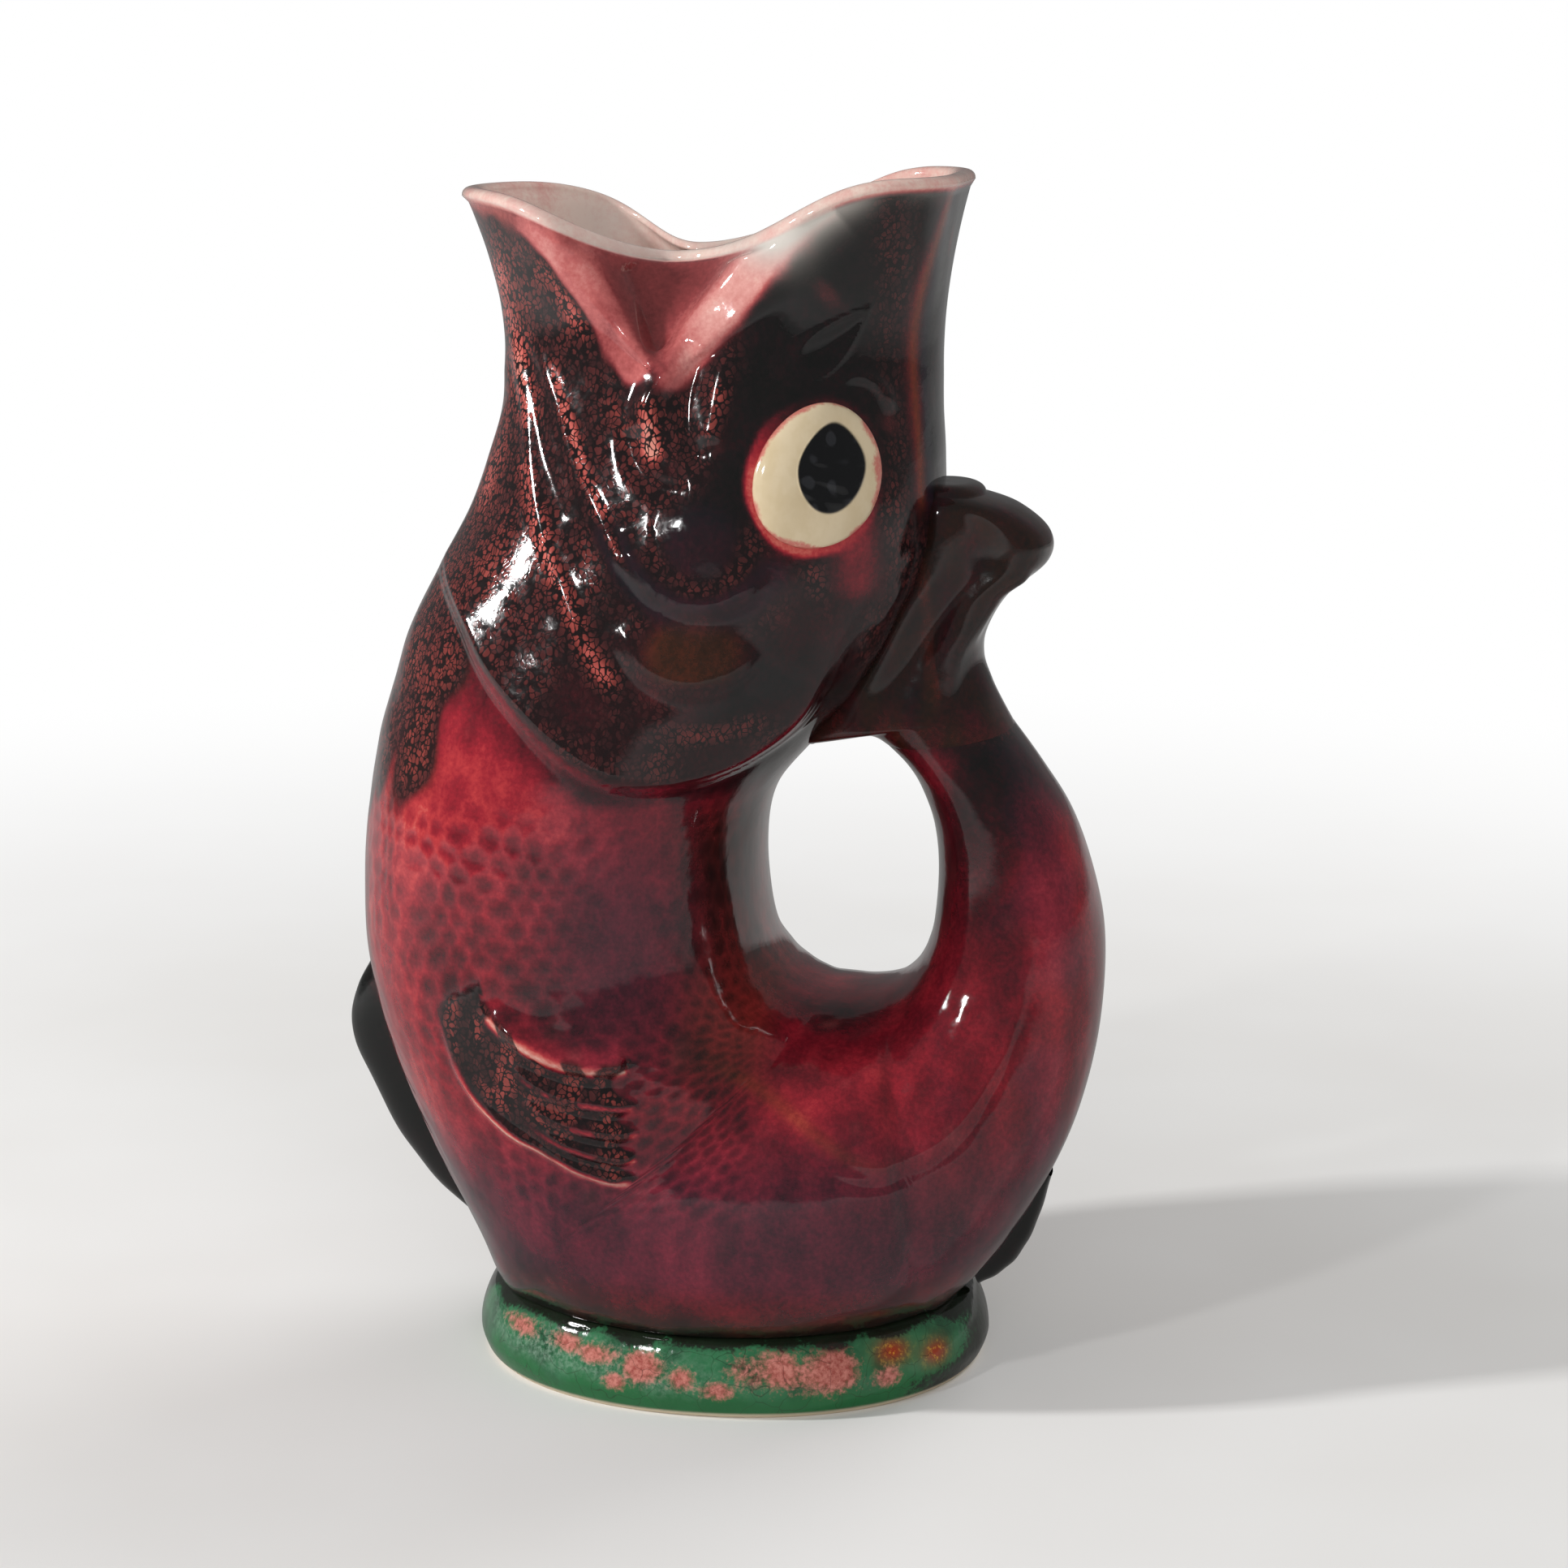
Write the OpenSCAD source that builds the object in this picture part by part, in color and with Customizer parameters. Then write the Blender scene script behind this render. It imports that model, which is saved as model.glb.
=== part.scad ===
/* [Overall] */
// Height from the table to the tip of the back lip
jug_height = 242.5; // [220:0.5:270]
// How far the belly's front stands from the middle of the foot
belly_reach = 74.8; // [70:0.2:82]
// How far the back of the tail stands from the middle of the foot
tail_reach = 76.2; // [72:0.2:82]
// Widest part of the belly across
belly_width = 100; // [90:1:112]
// Thickness of the fired wall
wall = 4; // [3:0.5:5]

/* [Foot] */
// Length of the oval foot, front to back
foot_length = 107; // [100:1:116]
// Width of the oval foot
foot_width = 92; // [84:1:98]
// Height of the foot, up to the groove under the belly
foot_height = 16; // [13:1:19]
// Width of the foot's ring, from its outside to the hollow underneath
foot_ring_width = 13; // [10:1:16]
// Depth of the groove between foot and belly
groove_depth = 4; // [2:0.5:6]

/* [Neck and mouth] */
// How far the back of the neck stands from the middle of the foot
neck_reach = 42; // [38:0.5:46]
// How far the front lip stands from the middle of the foot
front_lip_reach = 53.6; // [50:0.2:58]
// How far the back lip stands from the middle of the foot
back_lip_reach = 47; // [45:0.2:52]
// How much lower the tip of the front lip is than the tip of the back lip
front_lip_drop = 3.2; // [0:0.2:8]
// How much the back lip swells upward on either side of its tip
back_lip_swell = 2.6; // [0:0.2:5]
// How much the front lip swells upward on either side of its tip
front_lip_swell = 1.2; // [0:0.2:4]
// Depth of the dip in the rim at each corner of the mouth
mouth_dip = 13.2; // [8:0.2:18]
// Width of the mouth across its front and back halves
jaw_width = 74; // [64:1:80]
// How much each side of the rim is drawn in at the corners of the mouth
corner_pinch = 19.5; // [8:0.5:22]
// Height of the corner of the mouth, where the two jaws meet
corner_height = 204; // [200:1:208]
// How far the corner of the mouth lies in front of the foot's middle
corner_reach = 6; // [2:1:10]
// Length of the web's edge along the lower jaw, front to back
web_front = 19; // [14:1:24]
// Length of the web's edge along the upper jaw, front to back
web_back = 18; // [14:1:24]
// Depth of the web between the jaws
web_depth = 2.6; // [1:0.2:4]
// Height of the folded jaw edges beside the web
jaw_ridge = 1.3; // [0.4:0.1:2]

/* [Handle hole] */
// Width of the hole between belly and tail
hole_width = 36.4; // [30:0.2:42]
// Height of the hole between belly and tail
hole_height = 54; // [46:1:60]
// How far the hole's middle stands from the middle of the foot
hole_reach = 24.3; // [21:0.1:27]
// Height of the hole's middle
hole_middle = 105.3; // [100:0.1:110]

/* [Tail] */
// Width across the tail where it is held
tail_width = 41; // [34:1:48]
// Width across the tail's end, at the nape
tail_end_width = 33; // [26:1:38]
// How far the tip of the tail fin stands from the middle of the foot
fin_tip_reach = 64.4; // [60:0.2:72]
// Height of the tip of the tail fin
fin_tip_height = 169; // [164:1:174]
// Depth of the valley down each side of the tail fin
valley_share = 0.36; // [0.1:0.02:0.5]

/* [Fins on the belly] */
// How far the front fin stands out from the belly
front_fin_out = 13; // [9:0.2:15]
// Thickness of the front fin at its root
front_fin_thick = 8; // [6:0.5:10]
// How far the small back fin stands out from the tail's root
back_fin_out = 5.6; // [4:0.2:8]
// Thickness of the back fin at its root
back_fin_thick = 7; // [5:0.5:9]
// How far the pectoral fins stand proud of the belly
pectoral_out = 3.4; // [2:0.2:5]
// Number of rays in each pectoral fin
ray_count = 5; // [4:1:6]

/* [Face] */
// Length of each eye, front to back
eye_length = 23.5; // [20:0.5:28]
// Height of each eye
eye_height = 28; // [24:0.5:34]
// How far each eye stands proud of the head
eye_out = 3; // [1.5:0.1:4.5]
// Length of each nostril's ring
nostril_length = 14; // [10:0.5:17]
// How far each nostril's ring stands proud of the head
nostril_out = 1.4; // [0.8:0.1:2.4]
// Height of the step along the gill cover's lower edge
gill_out = 2.8; // [1.5:0.1:4]
// Size of the round boss on each cheek
cheek_size = 23; // [18:0.5:27]

/* [Hidden] */

// Glaze line between two formed pieces
seam = 0.1;
// Points round each ring of the body, and round the slimmer tail
body_columns = 40;
tail_columns = 20;
// First column of the flat underside, counted in degrees from the inner side
underside_angle = 153;
// How square the rounded sections are, with 2 for an ellipse
body_square = 2.15;
hole_top_square = 2;
hole_low_square = 2.7;
foot_square = 2.1;
// Oval on which the belly sits, inside the foot's groove
seat_length = foot_length - 2 * groove_depth;
seat_width = foot_width - 2 * groove_depth;
// The jug is drawn about its foot, then moved so that its own box is centred on the origin
front_fin_share = 0.925;
box_shift = (belly_reach * front_fin_share + front_fin_out - tail_reach) / 2;

// Head, from the neck down: height over the lip line's, reach in front and behind, width over the belly's
head_shares = [
    [0.850, 0.606, 1.000, 0.68],
    [0.817, 0.613, 1.002, 0.73],
    [0.779, 0.648, 1.014, 0.78],
    [0.733, 0.703, 1.010, 0.83],
    [0.683, 0.790, 0.945, 0.88],
    [0.633, 0.872, 0.812, 0.92],
    [0.588, 0.916, 0.660, 0.95]];
// Belly, down beside the hole: direction on the hole's edge, front reach, height and width as above
belly_shares = [
    [110, 0.955, 0.545, 0.97],
    [150, 0.982, 0.495, 0.99],
    [180, 1.000, 0.439, 1.00],
    [210, 1.000, 0.367, 1.00],
    [235, 0.948, 0.288, 1.01],
    [250, 0.824, 0.190, 1.00],
    [259, 0.712, 0.118, 0.97]];
// Underside: direction on the hole's edge, place along the seat over its half length, width
underside_shares = [
    [264, -0.93, 0.95],
    [268, -0.74, 0.95],
    [271, -0.44, 0.96],
    [274, -0.07, 0.96],
    [278, 0.30, 0.94],
    [284, 0.62, 0.90],
    [291, 0.84, 0.84],
    [298, 0.95, 0.76]];
// Tail, up the far side of the hole: direction on the hole's edge, reach, height, width over the tail's
tail_shares = [
    [307, 0.763, 0.113, 1.72],
    [317, 0.869, 0.171, 1.54],
    [329, 0.942, 0.229, 1.37],
    [343, 0.988, 0.296, 1.20],
    [360, 1.000, 0.367, 1.07],
    [380, 0.975, 0.421, 1.00],
    [398, 0.915, 0.477, 0.95],
    [412, 0.829, 0.521, 0.90],
    [426, 0.749, 0.556, 0.83]];
head_end = len(head_shares);
side_end = head_end + len(belly_shares) + len(underside_shares);
belly_end = side_end + 2;
tail_end = side_end + len(tail_shares) - 1;

// A signed power, which keeps the sign of what it raises
function signed_pow(v, e) = sign(v) * pow(abs(v), e);
function clamped(v, low, high) = max(low, min(high, v));
function eased(v) = let (c = clamped(v, 0, 1)) c * c * (3 - 2 * c);
function mixed(a, b, f) = a + (b - a) * f;
function bell(v, spread) = exp(-pow(v / spread, 2));

// Smooth curve through hand-placed rows, at place s counted in rows
function curve(rows, s) = let (
    last = len(rows) - 1,
    i = clamped(floor(s), 0, last - 1),
    f = clamped(s, 0, last) - i,
    a = rows[max(i - 1, 0)],
    b = rows[i],
    c = rows[i + 1],
    d = rows[min(i + 2, last)])
    (2 * b + (c - a) * f + (2 * a - 5 * b + 4 * c - d) * f * f + (3 * b - a - 3 * c + d) * f * f * f) / 2;

// The hole's edge is an egg, rounder above and squarer below
function hole_edge(angle) = let (square = sin(angle) > 0 ? hole_top_square : hole_low_square)
    [hole_reach + hole_width / 2 * signed_pow(cos(angle), 2 / square),
     hole_middle + hole_height / 2 * signed_pow(sin(angle), 2 / square)];

// Where a rounded section is as wide as asked, from 0 at its inner end to 1 at its outer end
function share_at_width(width, full) =
    (1 + pow(1 - pow(clamped(width / full, 0, 1), body_square), 1 / body_square)) / 2;

// Heights over the lip line's, the mean height of the two lips at their roots: up to the hole's top
// they follow the hole, and above the gills the lip line
lip_line_share = 0.9897;
lip_line = lip_line_share * jug_height;
hole_top = hole_middle + hole_height / 2;
hole_top_share = 0.55125;
gill_top_share = 0.72;
function height_at(share) = let (
    low = clamped((gill_top_share - share) / (gill_top_share - hole_top_share), 0, 1))
    share * mixed(lip_line, hole_top / hole_top_share, low);

// A station is one slanting section of the jug: outer end, inner end and half width
function head_station(r) = let (z = height_at(r[0]))
    [-r[1] * belly_reach, z, r[2] * neck_reach, z, r[3] * belly_width / 2];
function belly_station(r) = let (inner = hole_edge(r[0]))
    [-r[1] * belly_reach, height_at(r[2]), inner[0], inner[1], r[3] * belly_width / 2];
function underside_station(r) = let (
    inner = hole_edge(r[0]),
    half = r[2] * belly_width / 2,
    seat = [r[1] * seat_length / 2, foot_height],
    width = seat_width / 2 * sqrt(1 - r[1] * r[1]),
    outer = inner + (seat - inner) / share_at_width(width, half))
    [outer[0], outer[1], inner[0], inner[1], half];
function tail_station(r) = let (inner = hole_edge(r[0]))
    [r[1] * tail_reach, height_at(r[2]), inner[0], inner[1], r[3] * tail_width / 2];
stations = concat(
    [for (r = head_shares) head_station(r)],
    [for (r = belly_shares) belly_station(r)],
    [for (r = underside_shares) underside_station(r)],
    [for (r = tail_shares) tail_station(r)]);

// One point of a section, drawn in from the outside by inset and cut flat at floor_height
function section_point(s, angle, inset, floor_height) = let (
    row = curve(stations, s),
    outer = [row[0], row[1]],
    inner = [row[2], row[3]],
    along = (outer - inner) / norm(outer - inner),
    o = outer - along * inset,
    i = inner + along * inset,
    half = row[4] - inset,
    cut = o[1] < floor_height ? (i[1] - floor_height) / (i[1] - o[1]) : 1,
    cut_angle = cut < 1 ? acos(-signed_pow(2 * cut - 1, body_square / 2)) : 180,
    on_cut = cut < 1 && angle >= underside_angle && angle <= 360 - underside_angle,
    turn = cut == 1 ? angle
        : angle < 180 ? angle * cut_angle / underside_angle
        : 360 - (360 - angle) * cut_angle / underside_angle,
    cut_half = half * signed_pow(sin(cut_angle), 2 / body_square),
    place = on_cut ? cut : (1 - signed_pow(cos(turn), 2 / body_square)) / 2,
    flat = mixed(i, o, place),
    y = on_cut ? -cut_half * (180 - angle) / (180 - underside_angle)
        : -half * signed_pow(sin(turn), 2 / body_square))
    webbed([flat[0], y, flat[1]]);
function section(s, inset, floor_height, columns) =
    [for (k = [0:columns - 1]) section_point(s, 360 * k / columns, inset, floor_height)];

// Rim height, from -1 at the front lip to 1 at the back lip: it falls from tip to tip, swells in each
// lip and dips between them
mouth_middle = (back_lip_reach - front_lip_reach) / 2;
mouth_half = (back_lip_reach + front_lip_reach) / 2;
dip_place = -0.11;
dip_front_spread = 0.48;
dip_back_spread = 0.68;
swell_place = 0.67;
back_swell_spread = 0.29;
front_swell_spread = 0.4;
function hump(u, place, front_spread, back_spread) =
    bell(u - place, u < place ? front_spread : back_spread)
    - mixed(bell(-1 - place, front_spread), bell(1 - place, back_spread), (1 + u) / 2);
function rim_height(u) = jug_height - front_lip_drop * (1 - u) / 2
    + back_lip_swell * hump(u, swell_place, back_swell_spread, back_swell_spread)
    + front_lip_swell * hump(u, -swell_place, front_swell_spread, front_swell_spread)
    - mouth_dip * hump(u, dip_place, dip_front_spread, dip_back_spread);
// Half width of the mouth, drawn in at its corners and blunter at the back lip
back_lip_square = 3.6;
pinch_front_spread = 0.3;
pinch_back_spread = 0.42;
function rim_half(u) = jaw_width / 2
    - corner_pinch * bell(u - dip_place, u < dip_place ? pinch_front_spread : pinch_back_spread);
function rim_point(angle, rise, inset, drop) = let (
    low = section_point(0, angle, inset, foot_height),
    below = section_point(1, angle, inset, foot_height),
    u = cos(angle),
    square = u > 0 ? back_lip_square : 2,
    across = sign(sin(angle)) * pow(1 - pow(abs(u), square), 1 / square),
    half = rim_half(u) - inset,
    top = [mouth_middle + (mouth_half - inset) * u, -across * half, rim_height(u) - drop],
    flare = rise * rise,
    lean = (top[2] - low[2]) / (low[2] - below[2]) * rise * (1 - rise) * (1 - rise))
    webbed([mixed(low[0], top[0], flare) + (low[0] - below[0]) * lean,
        mixed(low[1], top[1], flare) + (low[1] - below[1]) * lean, mixed(low[2], top[2], rise)]);
function rim_ring(rise, inset, drop) =
    [for (k = [0:body_columns - 1]) rim_point(360 * k / body_columns, rise, inset, drop)];

// The web between the jaws: a sunk triangle that widens upward, with a folded ridge on either side
ridge_place = 1.3;
ridge_spread = 0.32;
web_edge_place = 1.1;
function web_relief(x, z) = let (
    top = rim_height(dip_place),
    rise = clamped((z - corner_height) / (top - corner_height), 0, 1),
    reach = x + corner_reach,
    edge = (reach < 0 ? web_front : web_back) * rise,
    across = rise > 0 ? abs(reach) / edge : 2 * ridge_place,
    sunk = eased(web_edge_place - across) * eased(rise * 2),
    folded = bell(across - ridge_place, ridge_spread) * eased(rise * 3))
    jaw_ridge * folded - web_depth * sunk;
function webbed(p) = p[2] <= corner_height ? p : [p[0], p[1] + sign(p[1]) * web_relief(p[0], p[2]), p[2]];

// The station whose section passes through a place seen from the side, by halving
function side_of(s, x, z) = let (row = curve(stations, s))
    (row[0] - row[2]) * (z - row[3]) - (row[1] - row[3]) * (x - row[2]);
halvings = 14;
function station_at(x, z, low = 0, high = side_end, left = halvings) = let (middle = (low + high) / 2)
    left == 0 ? middle
    : side_of(middle, x, z) < 0 ? station_at(x, z, low, middle, left - 1)
    : station_at(x, z, middle, high, left - 1);

// Direction on the mouth's flare of a place seen from the side, by halving
function mouth_point(angle, z) = let (
    top = rim_height(cos(angle)),
    base = stations[0][1])
    rim_point(angle, (z - base) / (top - base), 0, 0);
function mouth_angle(x, z, low = 0, high = 180, left = halvings) = let (middle = (low + high) / 2)
    left == 0 ? middle
    : mouth_point(middle, z)[0] > x ? mouth_angle(x, z, middle, high, left - 1)
    : mouth_angle(x, z, low, middle, left - 1);

// Half width of the jug at a place seen from the side
function body_depth(x, z) = let (
    row = curve(stations, station_at(x, z)),
    outer = [row[0], row[1]],
    inner = [row[2], row[3]],
    place = clamped(norm([x, z] - inner) / norm(outer - inner), 0, 1))
    row[4] * pow(1 - pow(abs(2 * place - 1), body_square), 1 / body_square);
function side_depth(x, z) = z > stations[0][1] ? -mouth_point(mouth_angle(x, z), z)[1] : body_depth(x, z);

// How far back the head reaches at a height and a distance from the middle plane
function flare_back(y, z) = mixed(mouth_point(180, z)[0], mouth_point(0, z)[0],
    share_at_width(abs(y), -mouth_point(90, z)[1]));
function head_back(y, z) = let (
    row = curve(stations, station_at(0, z)),
    place = share_at_width(abs(y), row[4]))
    z > stations[0][1] ? flare_back(y, z) : mixed(row[0], row[2], place);

// A point of relief on the left side of the jug, standing proud by out
function on_side(x, z, out) = [x, -(side_depth(x, z) + seam + out), z];

// Faces between rings of equal length, alike on both sides of the middle plane
function strip(a, b, columns) = [for (k = [0:columns - 1]) let (n = (k + 1) % columns)
    each k < columns / 2
        ? [[a + k, b + k, b + n], [a + k, b + n, a + n]]
        : [[a + k, b + k, a + n], [b + k, b + n, a + n]]];
// Rings joined in a closed loop, as an open shell needs
module hoop(rings) {
    columns = len(rings[0]);
    rows = len(rings);
    polyhedron(
        [for (r = rings) each r],
        [for (i = [0:rows - 1]) each strip(i * columns, ((i + 1) % rows) * columns, columns)]);
}
function centre_of(ring) = [for (axis = [0:2]) [for (p = ring) p[axis]] * [for (p = ring) 1] / len(ring)];
// Rings capped at both ends
module capsule(rings) {
    columns = len(rings[0]);
    rows = len(rings);
    first = rows * columns;
    polyhedron(
        concat([for (r = rings) each r], [centre_of(rings[0]), centre_of(rings[rows - 1])]),
        concat(
            [for (i = [0:rows - 2]) each strip(i * columns, (i + 1) * columns, columns)],
            [for (k = [0:columns - 1]) [first, k, (k + 1) % columns]],
            [for (k = [0:columns - 1]) [first + 1, (rows - 1) * columns + (k + 1) % columns,
                (rows - 1) * columns + k]]));
}
// Sets the jug about its own box, and copies a left-hand piece to the right
module placed() {
    translate([box_shift, 0, 0]) children();
}
module mirrored() {
    mirror([0, 1, 0]) children();
}

// Foot: a bulging oval ring, bare at its lowest edge and hollow underneath
// Profile: height over the foot's, inset over the groove's depth
foot_profile_shares = [
    [0.00, 0.62],
    [0.10, 0.28],
    [0.30, 0.00],
    [0.52, 0.10],
    [0.74, 0.42],
    [0.90, 0.80],
    [1.00, 1.35]];
function foot_point(angle, inset, z) = [
    (foot_length / 2 - inset) * signed_pow(cos(angle), 2 / foot_square),
    -(foot_width / 2 - inset) * signed_pow(sin(angle), 2 / foot_square), z];
function foot_loop(inset, z) =
    [for (k = [0:body_columns - 1]) foot_point(360 * k / body_columns, inset, z)];
module foot_ring() {
    color("#2f6b45") placed() hoop(concat(
        [for (k = [len(foot_profile_shares) - 1:-1:0])
            foot_loop(foot_profile_shares[k][1] * groove_depth, foot_profile_shares[k][0] * foot_height)],
        [foot_loop(foot_ring_width, 0), foot_loop(foot_ring_width, foot_height)]));
}

// Belly: the shell from the gills down and round under the hole to the root of the tail
belly_side_end = head_end + len(belly_shares);
belly_rows = concat(
    [for (s = [head_end:0.5:belly_side_end]) s],
    [for (s = [belly_side_end + 1:belly_end]) s]);
// A station on the belly's facets, which run straight between its rows
function facet_row(s) = let (
    step = s < belly_side_end ? 0.5 : 1,
    low = floor(s / step) * step)
    mixed(curve(stations, low), curve(stations, low + step), (s - low) / step);
module belly() {
    color("#8a1d2a") placed() hoop(concat(
        [for (s = belly_rows) section(s, 0, foot_height, body_columns)],
        [for (s = [belly_end:-1:head_end]) section(s, wall, foot_height + wall, body_columns)]));
}

// Head: the shell from the mouth down to the gills, open above and below
// Lip: inset and drop over the wall, across the rounded rim from outside to inside
lip_shares = [[1.00, 0.45], [0.86, 0.12], [0.50, 0.00], [0.14, 0.12], [0.00, 0.45]];
flare_shares = [0.88, 0.72, 0.56, 0.42, 0.31, 0.21, 0.11];
throat_shares = [0.3, 0.6, 0.85];
module head() {
    color("#3a1519") placed() hoop(concat(
        [for (l = lip_shares) rim_ring(1, l[0] * wall, l[1] * wall)],
        [for (rise = flare_shares) rim_ring(rise, 0, 0)],
        [for (s = [0:0.5:head_end]) section(s, 0, foot_height, body_columns)],
        [for (s = [head_end:-1:0]) section(s, wall, foot_height + wall, body_columns)],
        [for (rise = throat_shares) rim_ring(rise, wall, 0)]));
}

// Tail: hollow, open to the belly at its root and closed at its upper end
module tail_handle() {
    color("#6d1520") placed() capsule(concat(
        [for (s = [tail_end - 0.5:-1:belly_end]) section(s, wall, foot_height + wall, tail_columns)],
        [section(belly_end, wall, foot_height + wall, tail_columns)],
        [for (s = [belly_end:0.5:tail_end]) section(s, 0, foot_height, tail_columns)]));
}

// Tail fin: from the tail's end up the nape, with a valley down each side and a blunt upper lobe
// Inner edge: reach over the neck's, height over the lip line's
fan_inner_shares = [
    [0.625, 0.549],
    [0.300, 0.538],
    [0.380, 0.564],
    [0.560, 0.607],
    [0.690, 0.650],
    [0.780, 0.690],
    [0.830, 0.722],
    [0.850, 0.742],
    [0.870, 0.752]];
// Outer edge: reach over the tip's, rise from the tail's end over the tip's rise, width over the end's
fan_outer_shares = [
    [0.845, 0.14, 0.98],
    [0.815, 0.26, 0.96],
    [0.790, 0.40, 0.94],
    [0.800, 0.55, 0.93],
    [0.865, 0.75, 0.92],
    [0.985, 0.94, 0.92],
    [0.990, 1.10, 0.90],
    [0.900, 1.24, 0.80],
    [0.790, 1.31, 0.60]];
tail_top = curve(stations, tail_end);
fan_first = [tail_top[0], tail_top[1], tail_top[2], tail_top[3], tail_end_width / 2];
fan_stations = concat([fan_first], [for (k = [0:len(fan_outer_shares) - 1]) [
    fan_outer_shares[k][0] * fin_tip_reach,
    mixed(tail_top[1], fin_tip_height, fan_outer_shares[k][1]),
    fan_inner_shares[k][0] * neck_reach,
    height_at(fan_inner_shares[k][1]),
    fan_outer_shares[k][2] * tail_end_width / 2]]);
fan_end = len(fan_outer_shares);
fan_places = concat([for (u = [0:0.5:fan_end - 0.5]) u], [fan_end]);
valley_place = 0.56;
valley_spread = 0.2;
valley_rows = 4;
function fan_point(u, angle) = let (
    row = curve(fan_stations, u),
    place = (1 - signed_pow(cos(angle), 2 / body_square)) / 2,
    flat = mixed([row[2], row[3]], [row[0], row[1]], place),
    valley = valley_share * eased((u - 1) / valley_rows) * bell(place - valley_place, valley_spread),
    y = -row[4] * signed_pow(sin(angle), 2 / body_square) * (1 - valley),
    beside_head = flat[0] < hole_reach || flat[1] > hole_edge(90)[1],
    against = beside_head ? head_back(y, flat[1]) + 2 * seam : flat[0])
    [max(flat[0], against), y, flat[1]];
function fan_ring(u) = [for (k = [0:tail_columns - 1]) fan_point(u, 360 * k / tail_columns)];
module tail_fin() {
    color("#35141a") placed() capsule([for (u = fan_places) fan_ring(u)]);
}

// Gill covers: thin crescents that stand proud along their lower edge, with the cheek boss above
gill_rows = 26;
gill_across = 9;
gill_front_share = 0.72;
gill_back_share = 0.53;
// Lower and upper edge along the cover: height over the lip line's
gill_low_shares = [0.630, 0.612, 0.583, 0.553, 0.531, 0.521, 0.528, 0.541, 0.558, 0.579];
gill_high_shares = [0.648, 0.682, 0.714, 0.742, 0.760, 0.766, 0.758, 0.732, 0.690, 0.625];
gill_crowding = 1.25;
cheek_height = height_at(0.717);
cheek_reach = 0.024 * neck_reach;
// Heights of the cover's forms over the step's: skin, slope, step, boss, moat round the boss, fold below it
skin_share = 0.08;
slope_share = 0.2;
step_share = 0.75;
boss_share = 0.55;
moat_share = 0.3;
fold_share = 0.22;
moat_place = 1.25;
fold_drop_share = 0.86;
fold_curl_share = 9;
function fold_at(x, z) = let (
    along = (x + cheek_reach) / cheek_size,
    curl = fold_curl_share * along * along / cheek_size,
    above = (z - cheek_height) / cheek_size + fold_drop_share - curl)
    bell(above, 0.12) * bell(along, 0.75);
function gill_out_at(x, z, u, v) = let (
    from_cheek = norm([x + cheek_reach, z - cheek_height]) / (cheek_size / 2),
    ends = eased(u * 5) * eased((1 - u) * 6),
    slope = slope_share * (1 - v),
    step = step_share * pow(1 - v, 0.7) * eased(v * 9 + 0.25),
    boss = boss_share * bell(from_cheek, 0.85) - moat_share * bell(from_cheek - moat_place, 0.16),
    fold = fold_share * fold_at(x, z))
    gill_out * ends * max(skin_share, slope + step + boss + fold);
function gill_ring(u) = let (
    x = mixed(-gill_front_share * belly_reach, gill_back_share * neck_reach, u),
    low = height_at(curve(gill_low_shares, u * (len(gill_low_shares) - 1))),
    high = height_at(curve(gill_high_shares, u * (len(gill_high_shares) - 1))),
    places = [for (k = [0:gill_across]) k / gill_across],
    heights = [for (v = places) mixed(low, high, pow(v, gill_crowding))],
    outs = [for (k = [0:gill_across]) gill_out_at(x, heights[k], u, places[k])])
    concat(
        [for (k = [0:gill_across]) on_side(x, heights[k], 3 * seam + outs[k])],
        [for (k = [gill_across:-1:0]) on_side(x, heights[k], 2 * seam)]);
module gill_cover_left() {
    color("#2b1114") placed() capsule([for (k = [gill_rows:-1:0]) gill_ring(k / gill_rows)]);
}
module gill_cover_right() {
    mirrored() gill_cover_left();
}

// Pectoral fins: a fan of raised rays that opens towards the tail
pectoral_rows = 14;
// Upper and lower edge of the fan: reach over the belly's, height over the lip line's
pectoral_high_shares = [[-0.67, 0.355], [-0.56, 0.327], [-0.40, 0.300], [-0.27, 0.288], [-0.17, 0.292]];
pectoral_low_shares = [[-0.68, 0.343], [-0.62, 0.290], [-0.51, 0.240], [-0.35, 0.206], [-0.185, 0.194]];
function pectoral_point(u, v, out) = let (
    place = u * (len(pectoral_high_shares) - 1),
    flat = mixed(curve(pectoral_high_shares, place), curve(pectoral_low_shares, place), v))
    on_side(flat[0] * belly_reach, height_at(flat[1]), out);
// Height of the skin between the rays over theirs, and of a ray's root over its tip's
between_share = 0.25;
root_share = 0.55;
function ray_out(u, v) = let (
    ray = abs(sin(180 * ray_count * v)) * mixed(root_share, 1, u),
    ends = eased(u * 4 + 0.1) * eased((1 - u) * 5 + 0.3))
    pectoral_out * ends * mixed(between_share, 1, ray);
function pectoral_ring(u) = let (places = [for (k = [0:2 * ray_count]) k / (2 * ray_count)])
    concat(
        [for (v = places) pectoral_point(u, v, seam + ray_out(u, v))],
        [for (k = [2 * ray_count:-1:0]) pectoral_point(u, places[k], 0)]);
module pectoral_fin_left() {
    color("#1d1012") placed() capsule([for (k = [0:pectoral_rows]) pectoral_ring(k / pectoral_rows)]);
}
module pectoral_fin_right() {
    mirrored() pectoral_fin_left();
}

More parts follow.
